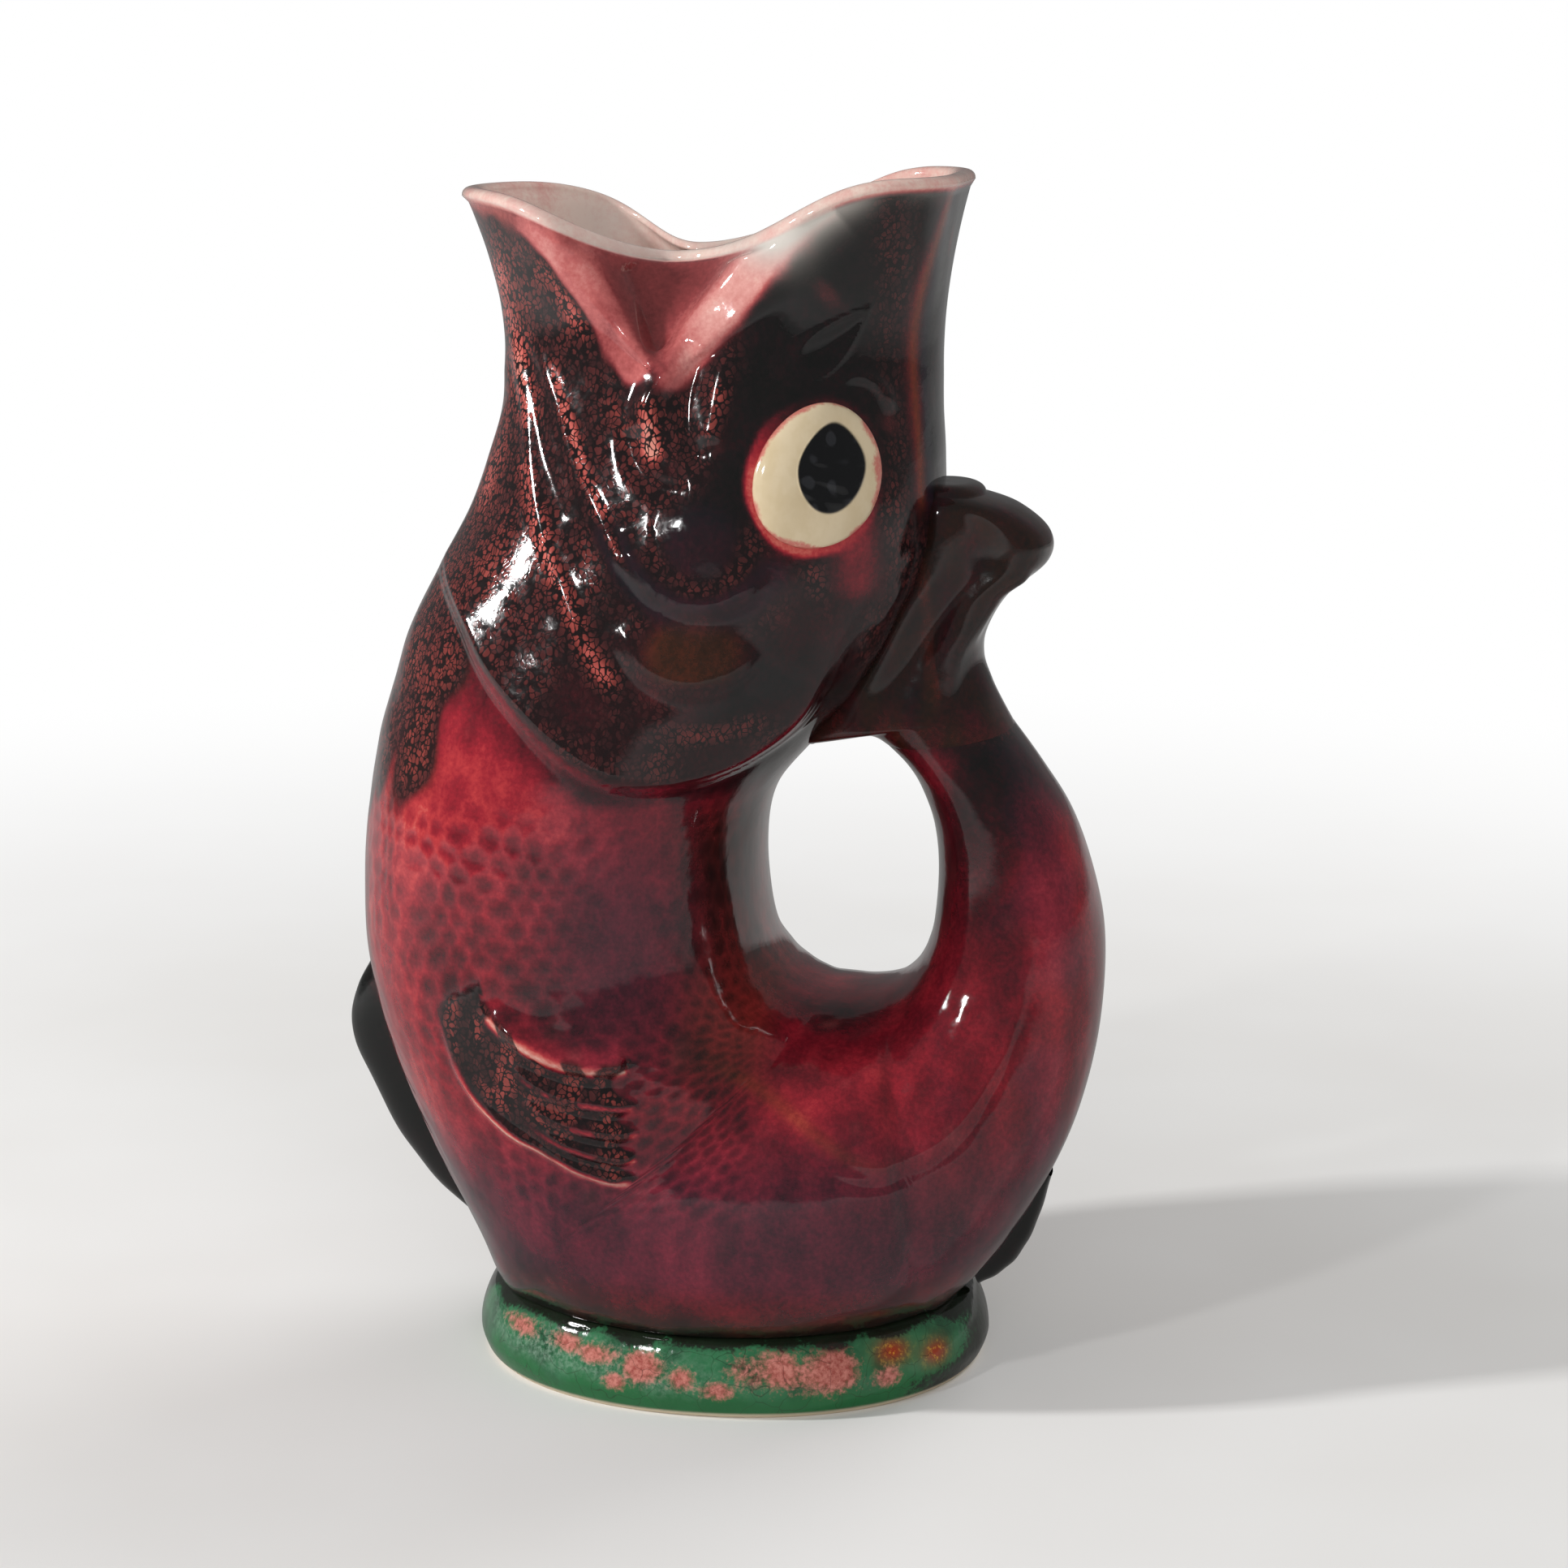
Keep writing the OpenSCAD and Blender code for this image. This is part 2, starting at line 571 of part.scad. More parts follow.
// Blades on the middle plane: a root along the belly, thinning to a rounded edge
// Half section: place from root to edge, half thickness over the root's thickness
blade_shares = [[0, 0.5], [0.3, 0.42], [0.7, 0.3], [0.95, 0.16]];
blade_end_share = 0.55;
function blade_ring(s, out, thick) = let (
    row = facet_row(s),
    outer = [row[0], row[1]],
    inner = [row[2], row[3]],
    along = (outer - inner) / norm(outer - inner),
    root = outer + along * seam,
    near = [for (p = blade_shares) [p[0], -p[1]]],
    far = [for (k = [len(blade_shares) - 1:-1:0]) blade_shares[k]])
    [for (p = concat(near, far)) let (flat = root + along * out * p[0]) [flat[0], thick * p[1], flat[1]]];
function blade(first, last, heights, out, thick) = let (count = len(heights) - 1)
    [for (k = [0:count]) blade_ring(mixed(first, last, k / count), heights[k] * out,
        thick * mixed(blade_end_share, 1, heights[k]))];

// Front fin: from the chest down to the foot, with heights along it over its reach
front_fin_first = 10.25;
front_fin_last = 13.25;
front_fin_shares = [0.06, 0.32, 0.64, 0.90, 1.00, 0.98, 0.94, 0.885, 0.80, 0.70, 0.57, 0.41, 0.22];
module front_fin() {
    color("#15100f") placed()
        capsule(blade(front_fin_first, front_fin_last, front_fin_shares, front_fin_out, front_fin_thick));
}

// Back fin: a small spur under the root of the tail
back_fin_first = 21.36;
back_fin_last = 22.96;
back_fin_shares = [0.62, 0.95, 1.00, 0.80, 0.48, 0.15];
module back_fin() {
    color("#15100f") placed()
        capsule(blade(back_fin_first, back_fin_last, back_fin_shares, back_fin_out, back_fin_thick));
}

// Eyes: egg-shaped domes, blunter below, leaning back a little at the top
eye_reach = 0.538 * neck_reach;
eye_middle = height_at(0.773);
eye_lean = 8;
eye_columns = 24;
eye_egg_share = 0.1;
function eye_point(angle, size, out) = let (
    x = eye_length / 2 * cos(angle) * (1 - eye_egg_share * sin(angle)) * size,
    z = eye_height / 2 * sin(angle) * size)
    on_side(eye_reach + x * cos(eye_lean) + z * sin(eye_lean),
        eye_middle + z * cos(eye_lean) - x * sin(eye_lean), out);
function eye_loop(size, out) =
    [for (k = [0:eye_columns - 1]) eye_point(360 * k / eye_columns, size, out)];
// Dome: size over the eye's, height over its own
dome_shares = [[1.00, 0.14], [0.93, 0.50], [0.76, 0.80], [0.50, 0.95], [0.22, 1.00]];
eye_base_shares = [0.25, 0.5, 0.75, 1];
module eye_left() {
    color("#d9cba6") placed() capsule(concat(
        [for (size = eye_base_shares) eye_loop(size, 0)],
        [for (d = dome_shares) eye_loop(d[0], d[1] * eye_out)]));
}
module eye_right() {
    mirrored() eye_left();
}

// Nostrils: almond rings above the eyes
nostril_reach = 0.631 * neck_reach;
nostril_middle = height_at(0.879);
nostril_slope = 35;
nostril_height_share = 0.42;
nostril_columns = 16;
function nostril_point(angle, size, out) = let (
    x = nostril_length / 2 * cos(angle) * size,
    z = nostril_length / 2 * nostril_height_share * sin(angle) * size)
    on_side(nostril_reach + x * cos(nostril_slope) - z * sin(nostril_slope),
        nostril_middle + z * cos(nostril_slope) + x * sin(nostril_slope), out);
// Ring: size over the nostril's, height over its own
nostril_shares = [[1.00, 0.15], [0.86, 0.85], [0.70, 0.95], [0.52, 0.45], [0.52, 0.00]];
module nostril_left() {
    color("#241416") placed() hoop([for (d = nostril_shares)
        [for (k = [0:nostril_columns - 1])
            nostril_point(360 * k / nostril_columns, d[0], d[1] * nostril_out)]]);
}
module nostril_right() {
    mirrored() nostril_left();
}

foot_ring();
belly();
head();
tail_handle();
tail_fin();
gill_cover_left();
gill_cover_right();
pectoral_fin_left();
pectoral_fin_right();
front_fin();
back_fin();
eye_left();
eye_right();
nostril_left();
nostril_right();
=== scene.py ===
"""Dresses a glazed earthenware gurgle jug, shaped as an upright fish, over its construction model.

Lengths are millimetres in the jug's own frame: -X is the fish's front, +X its tail, -Y its left side,
+Z up, about the middle of the foot. They turn into metres when a mesh is made.
"""
import logging
import math
from dataclasses import dataclass
from enum import Enum

import bpy
import numpy as np
from bpy.types import Material, Node, NodeSocket, NodeTree, Object
from mathutils import Matrix, Vector


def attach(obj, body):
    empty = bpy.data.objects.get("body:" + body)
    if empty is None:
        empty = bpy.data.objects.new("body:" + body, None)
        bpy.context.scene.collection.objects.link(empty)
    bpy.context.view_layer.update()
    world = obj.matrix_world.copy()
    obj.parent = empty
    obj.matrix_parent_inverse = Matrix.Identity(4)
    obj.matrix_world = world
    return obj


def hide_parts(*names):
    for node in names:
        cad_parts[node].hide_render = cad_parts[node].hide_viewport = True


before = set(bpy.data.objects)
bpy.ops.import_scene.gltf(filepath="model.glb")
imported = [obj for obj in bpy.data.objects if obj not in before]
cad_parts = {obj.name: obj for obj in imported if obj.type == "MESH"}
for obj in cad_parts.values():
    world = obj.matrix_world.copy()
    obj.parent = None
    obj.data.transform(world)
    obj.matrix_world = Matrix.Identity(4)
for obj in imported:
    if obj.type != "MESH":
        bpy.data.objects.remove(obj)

log = logging.getLogger("jug")
Array = np.ndarray
Point = tuple[float, float]
MM = 0.001
ROOT = "root"
PAINTS = ("thickness", "net", "rose", "rust", "blue", "milk")
BLACK = (0, 0, 0, 1)
WHITE = (1, 1, 1, 1)


class Slot(Enum):
    """Finishes of the record that a piece can take."""

    FOOT = "foot_glaze"
    BELLY = "belly_glaze"
    HEAD = "head_glaze"
    TAIL = "tail_glaze"
    FIN = "fin_glaze"
    EYE = "eye_glaze"


def linear(text: str) -> tuple[float, float, float, float]:
    """Turns a colour written as on a screen into the renderer's own scale.

    Args:
        text: The colour as six hexadecimal digits.

    Returns:
        Red, green, blue and an opacity of one.
    """
    parts = [int(text[k:k + 2], 16) / 255 for k in (0, 2, 4)]
    return tuple(v / 12.92 if v < 0.04045 else ((v + 0.055) / 1.055) ** 2.4 for v in parts) + (1.0,)


def signed_pow(v: Array, e: float) -> Array:
    """Raises a value to a power and keeps its sign."""
    return np.sign(v) * np.abs(v) ** e


def eased(v: Array) -> Array:
    """Rises smoothly from 0 to 1 as v does."""
    c = np.clip(v, 0.0, 1.0)
    return c * c * (3.0 - 2.0 * c)


def bell(v: Array, spread: float = 1.0) -> Array:
    """Falls off smoothly on both sides of 0."""
    return np.exp(-((v / spread) ** 2))


def held(v: Array) -> Array:
    """Holds values between 0 and 1."""
    return np.clip(v, 0, 1)


def mixed(a: Array, b: Array, f: Array) -> Array:
    """Blends from a to b."""
    return a + (b - a) * f


def unit(v: Array) -> Array:
    """Gives vectors the length one."""
    return v / np.linalg.norm(v, axis=-1, keepdims=True)


def curve(rows: Array, s: Array) -> Array:
    """Draws a smooth curve through rows.

    Args:
        rows: One row of values a station.
        s: Places on the curve, counted in rows.

    Returns:
        The curve's values, one row a place.
    """
    last = len(rows) - 1
    i = np.clip(np.floor(s).astype(int), 0, last - 1)
    f = (np.clip(s, 0, last) - i)[..., None]
    a, b, c, d = rows[np.maximum(i - 1, 0)], rows[i], rows[i + 1], rows[np.minimum(i + 2, last)]
    return (2 * b + (c - a) * f + (2 * a - 5 * b + 4 * c - d) * f ** 2
            + (3 * b - a - 3 * c + d) * f ** 3) / 2


def wander(p: Array, size: float, seed: int) -> Array:
    """Gives a slow, uneven drift over space.

    Args:
        p: Places, with two or three values each.
        size: Distance over which the drift changes, in millimetres.
        seed: Number of the pattern.

    Returns:
        A value from about -1 to 1 at each place.
    """
    rng = np.random.default_rng(seed)
    total = np.zeros(p.shape[:-1])
    for _ in range(7):
        way = rng.normal(size=p.shape[-1])
        way *= rng.uniform(0.7, 1.6) * 2 * math.pi / (size * 2.2) / np.linalg.norm(way)
        total += np.sin(p @ way + rng.uniform(0, 6.28))
    return total / 3.2


@dataclass(frozen=True)
class Stroke:
    """A line on the side of the fish, seen from the side: a ridge, a groove or a painted streak.

    width is its half width and height how far it stands out, or how strong its paint is.
    """

    points: tuple[Point, ...]
    width: float
    height: float = 1.0
    start: float = 0.12
    end: float = 0.12

    def path(self) -> Array:
        """Gives close points along the line."""
        rows = np.array(self.points, float)
        return curve(rows, np.linspace(0, len(rows) - 1, 14 * (len(rows) - 1) + 1))

    def measure(self, x: Array, z: Array, reach: float) -> tuple[Array, Array, Array]:
        """Measures places against the line.

        Args:
            x: Places along the fish.
            z: Their heights.
            reach: Distance beyond which a place is left at that distance.

        Returns:
            Distance, share of the line's length, and side, which is 1 on the left of its run.
        """
        path = self.path()
        step = np.diff(path, axis=0)
        run = np.concatenate([[0], np.cumsum(np.linalg.norm(step, axis=1))])
        distance = np.full(x.shape, float(reach))
        along = np.zeros(x.shape)
        side = -np.ones(x.shape)
        near = ((x > path[:, 0].min() - reach) & (x < path[:, 0].max() + reach)
                & (z > path[:, 1].min() - reach) & (z < path[:, 1].max() + reach))
        index = np.flatnonzero(near.ravel())
        for part in np.array_split(index, max(1, len(index) // 20000)):
            if not len(part):
                continue
            q = np.stack([x.ravel()[part], z.ravel()[part]], 1)[:, None, :] - path[None, :-1]
            t = held((q * step).sum(2) / np.maximum((step ** 2).sum(1), 1e-9))
            gap = q - t[..., None] * step
            d = np.linalg.norm(gap, axis=2)
            k = d.argmin(1)
            row = np.arange(len(part))
            cross = step[k, 0] * gap[row, k, 1] - step[k, 1] * gap[row, k, 0]
            distance.ravel()[part] = np.minimum(d[row, k], reach)
            along.ravel()[part] = (run[k] + t[row, k] * (run[k + 1] - run[k])) / run[-1]
            side.ravel()[part] = np.where(cross >= 0, 1.0, -1.0)
        return distance, along, side

    def value(self, x: Array, z: Array) -> Array:
        """Gives the line's height or strength at places seen from the side.

        Args:
            x: Places along the fish.
            z: Their heights.

        Returns:
            One value a place, 0 away from the line.
        """
        distance, along, _ = self.measure(x, z, self.width * 3)
        fade = eased(along / self.start) * eased((1 - along) / self.end)
        return self.height * fade * bell(distance, self.width) * (distance < self.width * 2.99)


@dataclass(frozen=True)
class Patch:
    """A soft oval on the side of the fish, seen from the side."""

    middle: Point
    spread: Point
    strength: float = 1.0

    def value(self, x: Array, z: Array) -> Array:
        """Gives the oval's strength at places seen from the side."""
        across = self.strength * bell((x - self.middle[0]) / self.spread[0])
        return across * bell((z - self.middle[1]) / self.spread[1])


# Stations of the wall, as shares of the form's sizes. Head: height, front, back and width.
HEAD_ROWS = ((0.850, 0.606, 1.000, 0.68), (0.817, 0.613, 1.002, 0.73), (0.779, 0.648, 1.014, 0.78),
             (0.733, 0.703, 1.010, 0.83), (0.683, 0.790, 0.945, 0.88), (0.633, 0.872, 0.812, 0.92),
             (0.588, 0.916, 0.660, 0.95))
# Belly: direction on the hole's edge in degrees, front, height and width.
BELLY_ROWS = ((110, 0.955, 0.545, 0.97), (150, 0.982, 0.495, 0.99), (180, 1.000, 0.439, 1.00),
              (210, 1.000, 0.367, 1.00), (235, 0.948, 0.288, 1.01), (250, 0.824, 0.190, 1.00),
              (259, 0.712, 0.118, 0.97))
# Under the hole: direction, place along the foot and width.
UNDER_ROWS = ((264, -0.93, 0.95), (268, -0.74, 0.95), (271, -0.44, 0.96), (274, -0.07, 0.96),
              (278, 0.30, 0.94), (284, 0.62, 0.90), (291, 0.84, 0.84), (298, 0.95, 0.76))
# Tail: direction, back, height and width.
TAIL_ROWS = ((307, 0.763, 0.113, 1.72), (317, 0.869, 0.171, 1.54), (329, 0.942, 0.229, 1.37),
             (343, 0.988, 0.296, 1.20), (360, 1.000, 0.367, 1.07), (380, 0.975, 0.421, 1.00),
             (398, 0.915, 0.477, 0.95), (412, 0.829, 0.521, 0.90), (426, 0.749, 0.556, 0.83))
# Tail fin: back and height of the inner ends, then back, height and width of the outer ones.
FAN_INNER = ((0.625, 0.549), (0.300, 0.538), (0.380, 0.564), (0.560, 0.607), (0.690, 0.650),
             (0.780, 0.690), (0.830, 0.722), (0.850, 0.742), (0.870, 0.752))
FAN_OUTER = ((0.845, 0.14, 0.98), (0.815, 0.26, 0.96), (0.790, 0.40, 0.94), (0.800, 0.55, 0.93),
             (0.865, 0.75, 0.92), (0.985, 0.94, 0.92), (0.990, 1.10, 0.90), (0.900, 1.24, 0.80),
             (0.790, 1.31, 0.60))


@dataclass(frozen=True)
class JugForm:
    """The jug's wall as a run of slanting sections, with the sizes of the construction model."""

    height: float = 242.5
    lip_line_share: float = 0.9897
    belly_reach: float = 74.8
    tail_reach: float = 76.2
    belly_width: float = 100.0
    wall: float = 4.0
    foot_length: float = 107.0
    foot_width: float = 92.0
    foot_height: float = 16.0
    foot_ring_width: float = 13.0
    groove_depth: float = 4.0
    neck_reach: float = 42.0
    front_lip_reach: float = 53.6
    back_lip_reach: float = 47.0
    back_lip_square: float = 3.6
    front_lip_drop: float = 3.2
    back_lip_swell: float = 2.6
    front_lip_swell: float = 1.2
    mouth_dip: float = 13.2
    dip_place: float = -0.11
    swell_place: float = 0.67
    jaw_width: float = 74.0
    corner_pinch: float = 19.5
    corner_height: float = 204.0
    corner_reach: float = 6.0
    web_front: float = 19.0
    web_back: float = 18.0
    web_depth: float = 2.6
    jaw_ridge: float = 1.3
    hole_width: float = 36.4
    hole_height: float = 54.0
    hole_reach: float = 24.3
    hole_middle: float = 105.3
    hole_top_square: float = 2.0
    hole_low_square: float = 2.7
    tail_width: float = 41.0
    tail_end_width: float = 33.0
    fin_tip_reach: float = 64.4
    fin_tip_height: float = 169.0
    front_fin_out: float = 13.0
    body_square: float = 2.15
    underside_angle: float = 153.0
    full_angle: float = 176.0
    head_end: float = 7.0
    side_end: float = 22.0
    belly_end: float = 24.0
    tail_end: float = 30.0
    halvings: int = 18

    @property
    def shift(self) -> float:
        """Distance from the foot's middle to the middle of the jug's box."""
        return (self.belly_reach * 0.925 + self.front_fin_out - self.tail_reach) / 2

    @property
    def lip_line(self) -> float:
        """Height to which the stations' shares are counted."""
        return self.lip_line_share * self.height

    @property
    def mouth(self) -> Point:
        """Middle and half length of the mouth, along the fish."""
        front, back = self.front_lip_reach, self.back_lip_reach
        return (back - front) / 2, (back + front) / 2

    def hole_edge(self, angle: float) -> Array:
        """Gives a place on the handle hole's egg.

        Args:
            angle: Direction from the hole's middle, in degrees.

        Returns:
            The place along the fish and its height.
        """
        a = math.radians(angle)
        e = 2 / (self.hole_top_square if math.sin(a) > 0 else self.hole_low_square)
        egg = signed_pow(np.array([math.cos(a), math.sin(a)]), e)
        return np.array([self.hole_reach + self.hole_width / 2 * egg[0],
                         self.hole_middle + self.hole_height / 2 * egg[1]])

    def stations(self) -> Array:
        """Gives every station of the wall.

        Returns:
            Outer end, inner end and half width, one row a station.
        """
        half = self.belly_width / 2
        lip = self.lip_line
        rows = [(-f * self.belly_reach, h * lip, b * self.neck_reach, h * lip, w * half)
                for h, f, b, w in HEAD_ROWS]
        rows += [(-f * self.belly_reach, h * lip, *self.hole_edge(a), w * half)
                 for a, f, h, w in BELLY_ROWS]
        seat = (self.foot_length / 2 - self.groove_depth, self.foot_width / 2 - self.groove_depth)
        n = self.body_square
        for a, p, w in UNDER_ROWS:
            inner = self.hole_edge(a)
            across = min(seat[1] * (1 - p * p) ** 0.5 / (w * half), 1)
            share = (1 + (1 - across ** n) ** (1 / n)) / 2
            outer = inner + (np.array([p * seat[0], self.foot_height]) - inner) / share
            rows.append((*outer, *inner, w * half))
        rows += [(f * self.tail_reach, h * lip, *self.hole_edge(a), w * self.tail_width / 2)
                 for a, f, h, w in TAIL_ROWS]
        return np.array(rows, float)

    def hump(self, u: Array, place: float, front: float, back: float) -> Array:
        """Gives a wave of the rim that comes to nothing at both lips.

        Args:
            u: Places along the mouth, from -1 at the front lip to 1 at the back lip.
            place: Where the wave is highest.
            front: How far it spreads forward.
            back: How far it spreads back.

        Returns:
            The wave's share of its height at each place.
        """
        ends = mixed(bell(-1 - place, front), bell(1 - place, back), (1 + u) / 2)
        return bell(u - place, np.where(u < place, front, back)) - ends

    def rim_height(self, u: Array) -> Array:
        """Gives the rim's height.

        Args:
            u: Places along the mouth, from -1 at the front lip to 1 at the back lip.

        Returns:
            One height a place.
        """
        return (self.height - self.front_lip_drop * (1 - u) / 2
                + self.back_lip_swell * self.hump(u, self.swell_place, 0.29, 0.29)
                + self.front_lip_swell * self.hump(u, -self.swell_place, 0.4, 0.4)
                - self.mouth_dip * self.hump(u, self.dip_place, 0.48, 0.68))

    def rim_half(self, u: Array) -> Array:
        """Gives the mouth's half width along it."""
        spread = np.where(u < self.dip_place, 0.3, 0.42)
        return self.jaw_width / 2 - self.corner_pinch * bell(u - self.dip_place, spread)

    def webbed(self, p: Array) -> Array:
        """Sinks the web between the jaws and folds the jaws' edges beside it.

        Args:
            p: Points of the wall.

        Returns:
            The same points, moved in or out beside the mouth's corners.
        """
        top = self.rim_height(np.array(self.dip_place))
        x, z = p[..., 0], p[..., 2]
        rise = held((z - self.corner_height) / (top - self.corner_height))
        reach = x + self.corner_reach
        edge = np.where(reach < 0, self.web_front, self.web_back) * rise
        across = np.where(rise > 0, np.abs(reach) / np.maximum(edge, 1e-6), 2.6)
        sunk = eased(1.1 - across) * eased(rise * 2)
        folded = bell(across - 1.3, 0.32) * eased(rise * 3)
        out = p.copy()
        out[..., 1] += np.sign(p[..., 1]) * (self.jaw_ridge * folded - self.web_depth * sunk)
        return np.where((z > self.corner_height)[..., None], out, p)

    def section(self, s: Array, angle: Array, inset: float = 0.0, raised: float = 0.0) -> Array:
        """Gives points of the wall's sections.

        Args:
            s: Stations, counted in rows.
            angle: Directions round the section, with 0 at the tail's side and 90 on the left.
            inset: Distance in from the outside.
            raised: How far the flat floor lies above the foot.

        Returns:
            Places, one for each station and direction.
        """
        s, angle = np.broadcast_arrays(s, angle)
        floor = self.foot_height + raised
        row = curve(self.stations(), s)
        outer, inner = row[..., 0:2], row[..., 2:4]
        along = unit(outer - inner)
        o, i = outer - along * inset, inner + along * inset
        half = row[..., 4] - inset
        e = 2 / self.body_square
        low = o[..., 1] < floor
        cut = np.where(low, (i[..., 1] - floor) / np.where(low, i[..., 1] - o[..., 1], 1), 1.0)
        ends = np.degrees(np.arccos(np.clip(-signed_pow(2 * cut - 1, 1 / e), -1, 1)))
        full = self.full_angle
        cut_off = (cut < 1) & (ends < full)
        ends = np.where(cut_off, ends, full)
        gather = eased((s - 8.5) / 7.5) * eased((self.tail_end - 1.5 - s) / 4.0)
        first = mixed(full, self.underside_angle, gather)
        under = (angle >= first) & (angle <= 360 - first)
        spread = np.maximum(180 - first, 1e-6)
        last = np.where(angle < 180, 180 - (180 - angle) * (180 - full) / spread,
                        180 + (angle - 180) * (180 - full) / spread)
        squeezed = np.where(angle < 180, angle * ends / first, 360 - (360 - angle) * ends / first)
        turn = np.radians(np.where(under, last, squeezed))
        on_cut = cut_off & under
        place = np.where(on_cut, cut, (1 - signed_pow(np.cos(turn), e)) / 2)
        flat = i + (o - i) * place[..., None]
        cut_half = half * signed_pow(np.sin(np.radians(ends)), e)
        y = np.where(on_cut, -cut_half * (180 - angle) / (180 - first),
                     -half * signed_pow(np.sin(turn), e))
        return self.webbed(np.stack([flat[..., 0], y, flat[..., 1]], -1))

    def rim(self, rise: Array, angle: Array, inset: Array = 0.0, drop: Array = 0.0) -> Array:
        """Gives points of the mouth's flare.

        Args:
            rise: Share of the way from the first station up to the rim.
            angle: Directions round the mouth, in degrees.
            inset: Distance in from the outside.
            drop: Distance down from the rim's edge.

        Returns:
            Places, one for each share and direction.
        """
        rise, angle, inset, drop = np.broadcast_arrays(rise, angle, inset, drop)
        low, below = (self.section(np.full(rise.shape, s), angle) for s in (0.0, 1.0))
        way = low - np.array([0, 0, self.stations()[0, 1]])
        way = inset[..., None] * way / np.linalg.norm(way, axis=-1, keepdims=True)
        low, below = low - way, below - way
        u = np.cos(np.radians(angle))
        middle, half = self.mouth
        square = np.where(u > 0, self.back_lip_square, 2.0)
        across = np.sign(np.sin(np.radians(angle))) * (1 - np.abs(u) ** square) ** (1 / square)
        y = -across * (self.rim_half(u) - inset)
        top = np.stack([middle + (half - inset) * u, y, self.rim_height(u) - drop], -1)
        lean = (top[..., 2] - low[..., 2]) / (low[..., 2] - below[..., 2]) * rise * (1 - rise) ** 2
        p = mixed(low, top, (rise * rise)[..., None]) + (low - below) * lean[..., None]
        p[..., 2] = mixed(low[..., 2], top[..., 2], rise)
        return self.webbed(p)

    def side_depth(self, x: Array, z: Array) -> Array:
        """Gives the jug's half width at places seen from the side.

        Args:
            x: Places along the fish.
            z: Their heights.

        Returns:
            One half width a place.
        """
        x, z = np.broadcast_arrays(np.asarray(x, float), np.asarray(z, float))
        rows = self.stations()
        low, high = np.zeros(x.shape), np.full(x.shape, self.side_end)
        for _ in range(self.halvings):
            middle = (low + high) / 2
            r = curve(rows, middle)
            across, rise = r[..., 0] - r[..., 2], r[..., 1] - r[..., 3]
            below = across * (z - r[..., 3]) - rise * (x - r[..., 2]) < 0
            high, low = np.where(below, middle, high), np.where(below, low, middle)
        r = curve(rows, (low + high) / 2)
        away = np.hypot(x - r[..., 2], z - r[..., 3])
        place = held(away / np.hypot(r[..., 0] - r[..., 2], r[..., 1] - r[..., 3]))
        n = self.body_square
        body = r[..., 4] * np.maximum(1 - np.abs(2 * place - 1) ** n, 0) ** (1 / n)
        base = rows[0, 1]
        low, high = np.zeros(x.shape), np.full(x.shape, 180.0)
        for _ in range(self.halvings):
            middle = (low + high) / 2
            top = self.rim_height(np.cos(np.radians(middle)))
            p = self.rim(np.clip((z - base) / (top - base), 0, 1.2), middle)
            ahead = p[..., 0] > x
            low, high = np.where(ahead, middle, low), np.where(ahead, high, middle)
        return np.where(z > base, -p[..., 1], body)

    def head_back(self, y: Array, z: Array) -> Array:
        """Gives how far back the head reaches.

        Args:
            y: Distances from the middle plane.
            z: Heights.

        Returns:
            One place along the fish for each.
        """
        rows = self.stations()
        heights = rows[:8, 1][::-1]
        r = curve(rows, 7 - np.interp(z, heights, np.arange(8.0)))
        n = self.body_square
        place = (1 + (1 - held(np.abs(y) / r[..., 4]) ** n) ** (1 / n)) / 2
        return mixed(r[..., 0], r[..., 2], place)


FORM = JugForm()


@dataclass
class Skin:
    """A stretch of surface as a grid of points, with the paint that it carries.

    Rows run along the fish and columns round it. paint holds one value a point under each name.
    """

    points: Array
    paint: dict[str, Array]
    normals: Array | None = None
    wraps: bool = True

    def face_normals(self) -> Array:
        """Works out the grid's directions from each point's neighbours.

        Returns:
            One unit vector a point, which may face in or out.
        """
        p = self.points
        if self.wraps:
            across = np.roll(p, -1, axis=1) - np.roll(p, 1, axis=1)
        else:
            across = np.gradient(p, axis=1)
        down = np.gradient(p, axis=0)
        n = np.cross(across, down)
        size = np.linalg.norm(n, axis=-1, keepdims=True)
        return n / np.maximum(size, 1e-12)

    def outward(self, row: int, column: int, side: int = -1) -> Array:
        """Works out the grid's outward directions.

        Args:
            row: Row of a point on the outside.
            column: Its column.
            side: Where that point faces, -1 for the left and 1 for the right.

        Returns:
            One unit vector a point.
        """
        normals = self.face_normals()
        return normals if normals[row, column, 1] * side > 0 else -normals

    def turned(self, normals: Array) -> bool:
        """Tells whether the grid's faces run against the given directions.

        Args:
            normals: One direction a point.

        Returns:
            True when the faces have to be turned over.
        """
        p = self.points
        way = np.cross(p[1:, :-1] - p[:-1, :-1], p[:-1, 1:] - p[:-1, :-1])
        return float((way * normals[:-1, :-1]).sum()) < 0

    def rows(self, first: int, last: int) -> "Skin":
        """Cuts out some rows with the normals of the whole.

        Args:
            first: The first row.
            last: The last row, which is taken too.

        Returns:
            The stretch of surface.
        """
        cut = slice(first, last + 1)
        normals = None if self.normals is None else self.normals[cut]
        return Skin(self.points[cut], {k: v[cut] for k, v in self.paint.items()}, normals, self.wraps)


def quads(rows: int, columns: int, wraps: bool, first: int = 0) -> Array:
    """Gives the faces of a grid.

    Args:
        rows: Number of rows of points.
        columns: Number of points a row.
        wraps: Whether the last column joins the first.
        first: Number of the grid's first point.

    Returns:
        Four point numbers a face.
    """
    r = np.arange(rows - 1)[:, None]
    c = np.arange(columns if wraps else columns - 1)[None, :]
    n = (c + 1) % columns
    a, b = r * columns + c, r * columns + n
    d, e = (r + 1) * columns + c, (r + 1) * columns + n
    return np.stack([a, d, e, b], -1).reshape(-1, 4) + first


